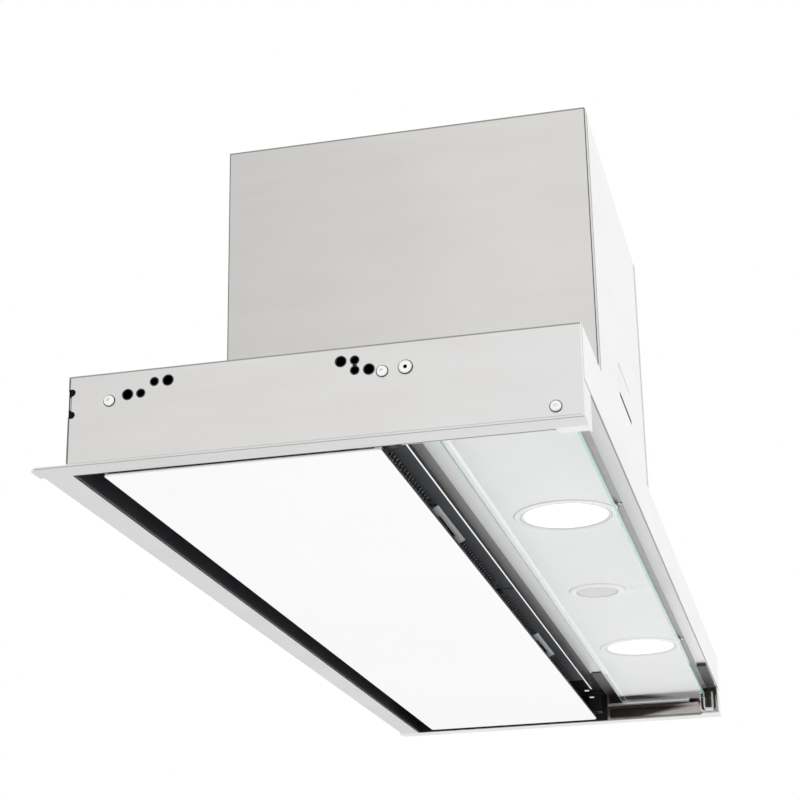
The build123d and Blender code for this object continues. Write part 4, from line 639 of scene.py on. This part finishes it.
def lip(name, node, body):
    """Each section is its place along the latch and its depth, in mm."""
    low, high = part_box(node)
    middle = (low.x + high.x) / 2
    front, top = low.y + LIP_INSET, low.z
    mesh = bmesh.new()
    last = None
    for along, depth in LIP_SECTIONS:
        fall = LIP_SLOPE * depth
        outline = [(0.0, -0.5), (0.0, -0.8), (depth, -0.8 - fall), (depth + 0.5, -0.5 - fall),
                   (depth + 0.5, -0.05), (2.4, -0.05), (2.2, -0.5)]
        ring = [mesh.verts.new((middle + along * MM, front + a * MM, top + b * MM)) for a, b in outline]
        if last is None:
            mesh.faces.new(ring)
        else:
            bridge(mesh, last, ring)
        last = ring
    mesh.faces.new(last[::-1])
    piece(name, mesh, body, ["latch_grey"], 20)


lip("left_latch_lip", "left_filter_latch", "left_latch")
lip("right_latch_lip", "right_filter_latch", "right_latch")

# Screws with a cross recess, and the rings round screws and rivet nuts; the dark rings are painted shade

BODY_END = 443 * MM
HEAD_HEIGHT = 1.6 * MM
SHANK_LENGTH = 6 * MM
SHANK_RADIUS = 1.9 * MM
SHANK_TAPER = 0.82
SHADE_RING_GAP = 0.05 * MM
SHADE_RING_HEIGHT = 0.12 * MM
SCREW_SHADE_RING = 0.45 * MM
NUT_SHADE_RING = 0.5 * MM
NUT_BORE = 1.15 * MM
NUT_CHAMFER = 0.5 * MM
NUT_RISE, NUT_HEIGHT = 0.2 * MM, 0.65 * MM
HEAD_PROFILE = ((1.0, 0.0), (1.0, 0.35), (0.93, 0.70), (0.74, 0.93), (0.45, 1.0))
ARM, HALF_ARM = 0.38, 0.11
CROSS_TAPER, CROSS_FLOOR = 0.7, 0.3
CROSS = (
    (ARM, -HALF_ARM), (ARM, HALF_ARM), (HALF_ARM, HALF_ARM), (HALF_ARM, ARM), (-HALF_ARM, ARM),
    (-HALF_ARM, HALF_ARM), (-ARM, HALF_ARM), (-ARM, -HALF_ARM), (-HALF_ARM, -HALF_ARM), (-HALF_ARM, -ARM),
    (HALF_ARM, -ARM), (HALF_ARM, -HALF_ARM),
)


def cross_screw(mesh, centre, out, radius, height):
    """A domed head with a cross cut in it, sitting on a point and facing out."""
    place = facing(centre, out)
    built = [circle(mesh, place, radius * share, height * rise, HEAD_SEGMENTS)
             for share, rise in HEAD_PROFILE]
    for outer, inner in zip(built, built[1:]):
        bridge(mesh, outer, inner)
    mesh.faces.new(built[0][::-1])
    rim = [mesh.verts.new(place @ Vector((radius * x, radius * y, height))) for x, y in CROSS]
    floor = [
        mesh.verts.new(place @ Vector((
            radius * x * CROSS_TAPER, radius * y * CROSS_TAPER, height * CROSS_FLOOR)))
        for x, y in CROSS
    ]
    top = built[-1]
    edges = [mesh.edges.new((rim[i], rim[(i + 1) % len(rim)])) for i in range(len(rim))]
    edges += [mesh.edges.get((top[i], top[(i + 1) % len(top)])) for i in range(len(top))]
    bmesh.ops.triangle_fill(mesh, edges=edges, use_beauty=True)
    bridge(mesh, rim, floor)
    mesh.faces.new(floor)


def add_shank(mesh, start, end):
    span = end - start
    bmesh.ops.create_cone(
        mesh, cap_ends=True, segments=SHANK_SEGMENTS, depth=span.length,
        radius1=SHANK_RADIUS, radius2=SHANK_RADIUS * SHANK_TAPER, matrix=facing((start + end) / 2, span))


screws = bmesh.new()
for lowest, highest in islands("end_screws"):
    side = 1 if lowest.x > 0 else -1
    middle = (lowest + highest) / 2
    radius = (highest.y - lowest.y) / 2
    seat = (highest.x if side > 0 else -lowest.x) - HEAD_HEIGHT
    start = Vector((side * seat, middle.y, middle.z))
    cross_screw(screws, start, (side, 0, 0), radius, HEAD_HEIGHT)
    # a dark ring of painted shade round the head
    ring_on(screws, facing(start, (side, 0, 0)), radius + SHADE_RING_GAP, radius + SCREW_SHADE_RING, SHADE_RING_HEIGHT, 1)
    add_shank(screws, start, Vector((side * (seat - SHANK_LENGTH), middle.y, middle.z)))
made = piece("end_screw_set", screws, "hood", ["screw_steel_lit", "painted_shade_dark"], 40)
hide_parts("end_screws")

rings = bmesh.new()
for lowest, highest in islands("rivet_nuts"):
    side = 1 if lowest.x > 0 else -1
    middle = (lowest + highest) / 2
    radius = (highest.y - lowest.y) / 2
    panel_face = facing((side * BODY_END, middle.y, middle.z), (side, 0, 0))
    nut_face = facing((side * (BODY_END + NUT_RISE), middle.y, middle.z), (side, 0, 0))
    # a dark ring of painted shade round the nut
    ring_on(rings, panel_face, radius + SHADE_RING_GAP, radius + NUT_SHADE_RING, SHADE_RING_HEIGHT, 0)
    ring_on(rings, nut_face, NUT_BORE, radius - NUT_CHAMFER, NUT_HEIGHT, 1)
piece("rivet_nut_rings", rings, "hood", ["painted_shade_dark", "screw_steel_lit"], 40)

screws = bmesh.new()
for lowest, highest in islands("band_screws"):
    middle = (lowest + highest) / 2
    radius = (highest.x - lowest.x) / 2
    seat = Vector((middle.x, middle.y, lowest.z + HEAD_HEIGHT))
    cross_screw(screws, seat, (0, 0, -1), radius, HEAD_HEIGHT)
    add_shank(screws, seat, seat + Vector((0, 0, SHANK_LENGTH)))
made = piece("band_screw_set", screws, "hood", ["screw_steel"], 40)
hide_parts("band_screws")

LID_INSET = 7 * MM
LID_HEAD = (3.0 * MM, 1.5 * MM)
screws = bmesh.new()
low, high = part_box("control_box_lid")
for x in (low.x + LID_INSET, high.x - LID_INSET):
    for y in (low.y + LID_INSET, high.y - LID_INSET):
        cross_screw(screws, Vector((x, y, high.z)), (0, 0, 1), *LID_HEAD)
piece("lid_screws", screws, "hood", ["screw_steel"], 40)

# Pop rivets on the top sheets

RIVET_RADIUS = 3.0 * MM
RIVET_HEIGHT = 1.1 * MM
RIVET_INSET = 4 * MM
RIVET_PROFILE = ((1.0, 0.0), (1.0, 0.25), (0.86, 0.65), (0.62, 0.92), (0.36, 1.0), (0.30, 0.72))
STEM_RISE = 0.74


def dome(mesh, centre):
    """A pop rivet's head, facing up, with its broken stem in the middle."""
    place = facing(centre, (0, 0, 1))
    loops = [circle(mesh, place, RIVET_RADIUS * share, RIVET_HEIGHT * rise, SHANK_SEGMENTS)
             for share, rise in RIVET_PROFILE]
    mesh.faces.new(loops[0][::-1])
    for first, second in zip(loops, loops[1:]):
        bridge(mesh, first, second)
    stem = mesh.verts.new(place @ Vector((0, 0, RIVET_HEIGHT * STEM_RISE)))
    last = loops[-1]
    for i in range(len(last)):
        mesh.faces.new((last[i], last[(i + 1) % len(last)], stem))


rivets = bmesh.new()
for node, count, inset_y in (("top_plate", 4, 30 * MM), ("motor_box_top", 3, 25 * MM)):
    low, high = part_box(node)
    for x in (low.x + RIVET_INSET, high.x - RIVET_INSET):
        for step in range(count):
            y = low.y + inset_y + step * (high.y - low.y - 2 * inset_y) / (count - 1)
            dome(rivets, Vector((x, y, high.z)))
piece("sheet_rivets", rivets, "hood", ["screw_steel"], 40)

# Dark rings of painted shade round the end panels' holes, and a black block of painted shade with a blue
# strip in each rear notch. The holes are (y, z, radius), in mm, and the block and strip their limits on each
# axis.

HOLES = [(103.7, 42.5, 2.9), (-39.6, 42.5, 2.9), (79.3, 48.8, 2.9), (-23.3, 48.8, 2.9),
         (95.7, 42.5, 2.25), (87.6, 48.8, 2.25), (-31.4, 48.8, 2.25), (-31.4, 42.7, 2.25)]
HOLE_SHADE_WIDTH, HOLE_SHADE_HEIGHT = 0.55 * MM, 0.1 * MM
NOTCH_SHADE = ((442.05, 442.6), (134.6, 139.85), (30.4, 50.2))
STRIP = ((442.62, 442.8), (138.3, 139.2), (36.5, 44.0))
hole_shades = bmesh.new()
for side in (-1, 1):
    for y, z, radius in HOLES:
        ring_on(hole_shades, facing((side * BODY_END, y * MM, z * MM), (side, 0, 0)),
                radius * MM - SHADE_RING_GAP, radius * MM + HOLE_SHADE_WIDTH, HOLE_SHADE_HEIGHT, 0)
piece("hole_shade_rings", hole_shades, "hood", ["painted_shade_dark"], 40)

notch_shades, strips = bmesh.new(), bmesh.new()
for side in (-1, 1):
    for mesh, (x, y, z) in ((notch_shades, NOTCH_SHADE), (strips, STRIP)):
        slab(mesh, [side * a * MM for a in x], [b * MM for b in y], [c * MM for c in z])
piece("notch_shade_blocks", notch_shades, "hood", ["notch_shade_black"], 0)
piece("notch_strips", strips, "hood", ["notch_blue"], 0)

# Lamp trims and lenses, switch bezel and the ring of the receiver window, with a grey band of painted shade
# in each gap.
# A profile's rows are (radius, height, index of the next face's material), in mm.

LAMP_RING = (
    (35.1, 23.0, 1), (35.0, 22.8, 1), (34.5, 22.75, 0), (34.2, 22.2, 0), (33.4, 22.0, 0), (30.9, 22.0, 1),
    (30.0, 22.1, 0), (29.1, 22.1, 1), (28.5, 22.4, 1), (28.4, 22.6, 1), (29.3, 22.65, 0), (29.3, 26.9, 0),
    (29.7, 26.9, 0), (29.7, 23.0, 1),
)
LAMP_GLASS = (
    (29.2, 23.7, 0), (29.2, 22.9, 0), (28.3, 22.75, 0), (14.0, 22.7, 0), (0.05, 22.7, 0), (0.05, 23.7, 0),
)
BEZEL_RING = (
    (21.7, 23.0, 1), (21.6, 22.8, 1), (21.1, 22.7, 0), (21.0, 21.9, 0), (20.4, 21.2, 0), (19.4, 21.0, 0),
    (17.2, 21.05, 0), (16.0, 21.5, 1), (15.5, 22.2, 1), (15.4, 30.9, 0), (17.2, 31.0, 0), (17.2, 23.0, 1),
)
LAMP_PLATE_FACE = 23 * MM
WINDOW_RING = (3.7 * MM, 6.0 * MM, 0.5 * MM)


def middle_of(box):
    return (box[0].x + box[1].x) / 2, (box[0].y + box[1].y) / 2


def turned(name, node, middles, profile, looks):
    """Closed rings, turned about upright axes."""
    mesh = bmesh.new()
    for x, y in middles:
        place = Matrix.Translation((x, y, 0))
        loops = [circle(mesh, place, radius * MM, height * MM, LAMP_SEGMENTS)
                 for radius, height, index in profile]
        for first, second, row in zip(loops, loops[1:] + loops[:1], profile):
            bridge(mesh, first, second, row[2])
    made = piece(name, mesh, "hood", looks, 25)
    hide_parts(node)


lamps = [middle_of(box) for box in islands("lamp_trims")]
turned("lamp_rings", "lamp_trims", lamps, LAMP_RING, ["lamp_chrome", "gap_shade_grey"])
turned("lamp_glasses", "lamp_lenses", lamps, LAMP_GLASS, ["lens_frosted"])
turned("bezel_ring", "switch_bezel", [middle_of(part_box("switch_bezel"))], BEZEL_RING,
       ["bezel_chrome", "gap_shade_grey"])
rings = bmesh.new()
window = middle_of(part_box("receiver_window"))
ring_on(rings, facing((*window, LAMP_PLATE_FACE), (0, 0, -1)), *WINDOW_RING, 0)
piece("window_ring", rings, "hood", ["window_plastic"], 30)

# The damper block at the right end of the visor, with upright ribs towards the middle

BLOCK_X = (429.2 * MM, 441.0 * MM)
BLOCK_Y = (-157.6 * MM, -141.0 * MM)
BLOCK_Z = (2.6 * MM, 22.0 * MM)
RIBS = 4
RIB_DEPTH = 0.8 * MM
RIB_SLOPE = 0.25
BLOCK_ARRIS = 0.3 * MM

outline = [(BLOCK_X[1], BLOCK_Y[0]), (BLOCK_X[1], BLOCK_Y[1])]
step = (BLOCK_Y[1] - BLOCK_Y[0]) / RIBS
for k in reversed(range(RIBS)):
    near, far = BLOCK_Y[0] + k * step, BLOCK_Y[0] + (k + 1) * step
    outline += [(BLOCK_X[0] + RIB_DEPTH, far), (BLOCK_X[0], far - step * RIB_SLOPE),
                (BLOCK_X[0], near + step * RIB_SLOPE), (BLOCK_X[0] + RIB_DEPTH, near)]
cleaned = [p for i, p in enumerate(outline) if p != outline[i - 1]]
made = piece("damper_block", extruded(cleaned, *BLOCK_Z), "hood", ["dark_plastic"], 0)
soften(made, BLOCK_ARRIS)

# The pale rim of the right guide's window, open at its top, its paleness a painted highlight along the
# window's edge: its outer and inner line are (y, z)

RIM_X = (426.2, 428.2)
OUTER = ((-142.0, 17.2), (-142.0, 4.4), (-144.6, 1.8), (-155.6, 1.8), (-158.0, 4.2), (-158.0, 17.2))
INNER = ((-142.9, 17.2), (-142.9, 4.8), (-144.9, 2.8), (-155.3, 2.8), (-157.1, 4.6), (-157.1, 17.2))
rim = bmesh.new()
loops = [[rim.verts.new((x * MM, y * MM, z * MM)) for y, z in points]
         for x in RIM_X for points in (OUTER, INNER)]
for first, second in ((0, 2), (2, 3), (3, 1), (1, 0)):
    for i in range(len(OUTER) - 1):
        rim.faces.new((loops[first][i], loops[first][i + 1], loops[second][i + 1], loops[second][i]))
for i in (0, len(OUTER) - 1):
    rim.faces.new((loops[0][i], loops[2][i], loops[3][i], loops[1][i]))
piece("guide_window_rim", rim, "hood", ["highlight_edge"], 0)

# Two small plates under the partition's hem

PLATE_CENTRES = (316.0, 348.0)
PLATE_X = (-2.2, 2.2)
PLATE_Y = (-49.6, -45.6)
PLATE_Z = (7.3, 8.0)
plates = bmesh.new()
for x in PLATE_CENTRES:
    slab(plates, [(x + a) * MM for a in PLATE_X], [b * MM for b in PLATE_Y], [c * MM for c in PLATE_Z])
piece("hem_plates", plates, "hood", ["polish_and_highlight"], 0)

# Stage, light and camera. Floor and world are white in reflections and through glass, and dimmer
# where they light the object. The softboxes only light it: bare metal doesn't mirror them.

FLOOR_HEIGHT = -2.6
FLOOR_HALF_SIZE = 9.0
FLOOR_TONE = (0.82, 0.82, 0.82, 1.0)
WHITE = (1.0, 1.0, 1.0, 1.0)
WORLD_LIGHT = 0.70
floor_mesh = bmesh.new()
bmesh.ops.create_grid(floor_mesh, x_segments=8, y_segments=8, size=FLOOR_HALF_SIZE)
floor_data = bpy.data.meshes.new("floor")
floor_mesh.to_mesh(floor_data)
floor_mesh.free()
floor = bpy.data.objects.new("floor", floor_data)
floor.location.z = FLOOR_HEIGHT
scene.collection.objects.link(floor)


def seen_by(tree, *rays):
    """1 for rays of these kinds, 0 for others."""
    path = tree.nodes.new("ShaderNodeLightPath")
    seen = path.outputs[rays[0]]
    for ray in rays[1:]:
        either = tree.nodes.new("ShaderNodeMath")
        either.operation = "MAXIMUM"
        tree.links.new(seen, either.inputs[0])
        tree.links.new(path.outputs[ray], either.inputs[1])
        seen = either.outputs[0]
    return seen


pale = bpy.data.materials.new("pale_floor")
pale.use_nodes = True
tree = pale.node_tree
shader = tree.nodes["Principled BSDF"]
shader.inputs["Base Color"].default_value = FLOOR_TONE
shader.inputs["Roughness"].default_value = 0.7
white = tree.nodes.new("ShaderNodeEmission")
white.inputs["Strength"].default_value = 1.0
mixed = tree.nodes.new("ShaderNodeMixShader")
tree.links.new(seen_by(tree, "Is Glossy Ray", "Is Transmission Ray"), mixed.inputs["Fac"])
tree.links.new(shader.outputs[0], mixed.inputs[1])
tree.links.new(white.outputs[0], mixed.inputs[2])
tree.links.new(mixed.outputs[0], tree.nodes["Material Output"].inputs["Surface"])
floor_data.materials.append(pale)

world = bpy.data.worlds.new("studio")
scene.world = world
world.use_nodes = True
tree = world.node_tree
sky = tree.nodes["Background"]
level = tree.nodes.new("ShaderNodeMapRange")
tree.links.new(seen_by(tree, "Is Camera Ray", "Is Glossy Ray", "Is Transmission Ray"), level.inputs["Value"])
level.inputs["To Min"].default_value = WORLD_LIGHT
level.inputs["To Max"].default_value = 1.0
tree.links.new(level.outputs["Result"], sky.inputs["Strength"])
sky.inputs["Color"].default_value = WHITE


def softbox(name, place, aim, size, power):
    lamp = bpy.data.lights.new(name, "AREA")
    lamp.shape, lamp.size, lamp.size_y, lamp.energy = "RECTANGLE", size, size, power
    made = bpy.data.objects.new(name, lamp)
    made.location = place
    made.rotation_mode = "QUATERNION"
    made.rotation_quaternion = (Vector(aim) - Vector(place)).to_track_quat("-Z", "Y")
    made.visible_camera = False
    made.visible_glossy = False
    scene.collection.objects.link(made)


softbox("under_light", (-0.6, -0.6, -1.7), (0.0, 0.0, 0.0), 1.8, 16.0)
softbox("front_light", (0.5, -2.2, 0.3), (0.0, 0.0, 0.1), 1.6, 14.0)
softbox("end_light", (-2.2, -0.3, 0.7), (-0.3, 0.0, 0.1), 1.2, 6.0)

# The camera that was fitted to the photo
CAMERA_PLACE = (-1.3889, -0.2843, -0.3395)
CAMERA_RIGHT = Vector((0.22510, -0.97408, -0.02227))
CAMERA_UP = Vector((-0.31665, -0.09476, 0.94380))
camera_data = bpy.data.cameras.new("photo_camera")
camera_data.sensor_width = 36.0
camera_data.lens = 84.375
camera_data.shift_x, camera_data.shift_y = -0.037, 0.0459
camera_data.clip_start, camera_data.clip_end = 0.05, 50.0
camera = bpy.data.objects.new("photo_camera", camera_data)
axes = (CAMERA_RIGHT, CAMERA_UP, CAMERA_RIGHT.cross(CAMERA_UP))
camera.matrix_world = Matrix.Translation(CAMERA_PLACE) @ Matrix(axes).transposed().to_4x4()
scene.collection.objects.link(camera)
scene.camera = camera
scene.view_settings.view_transform = "Standard"
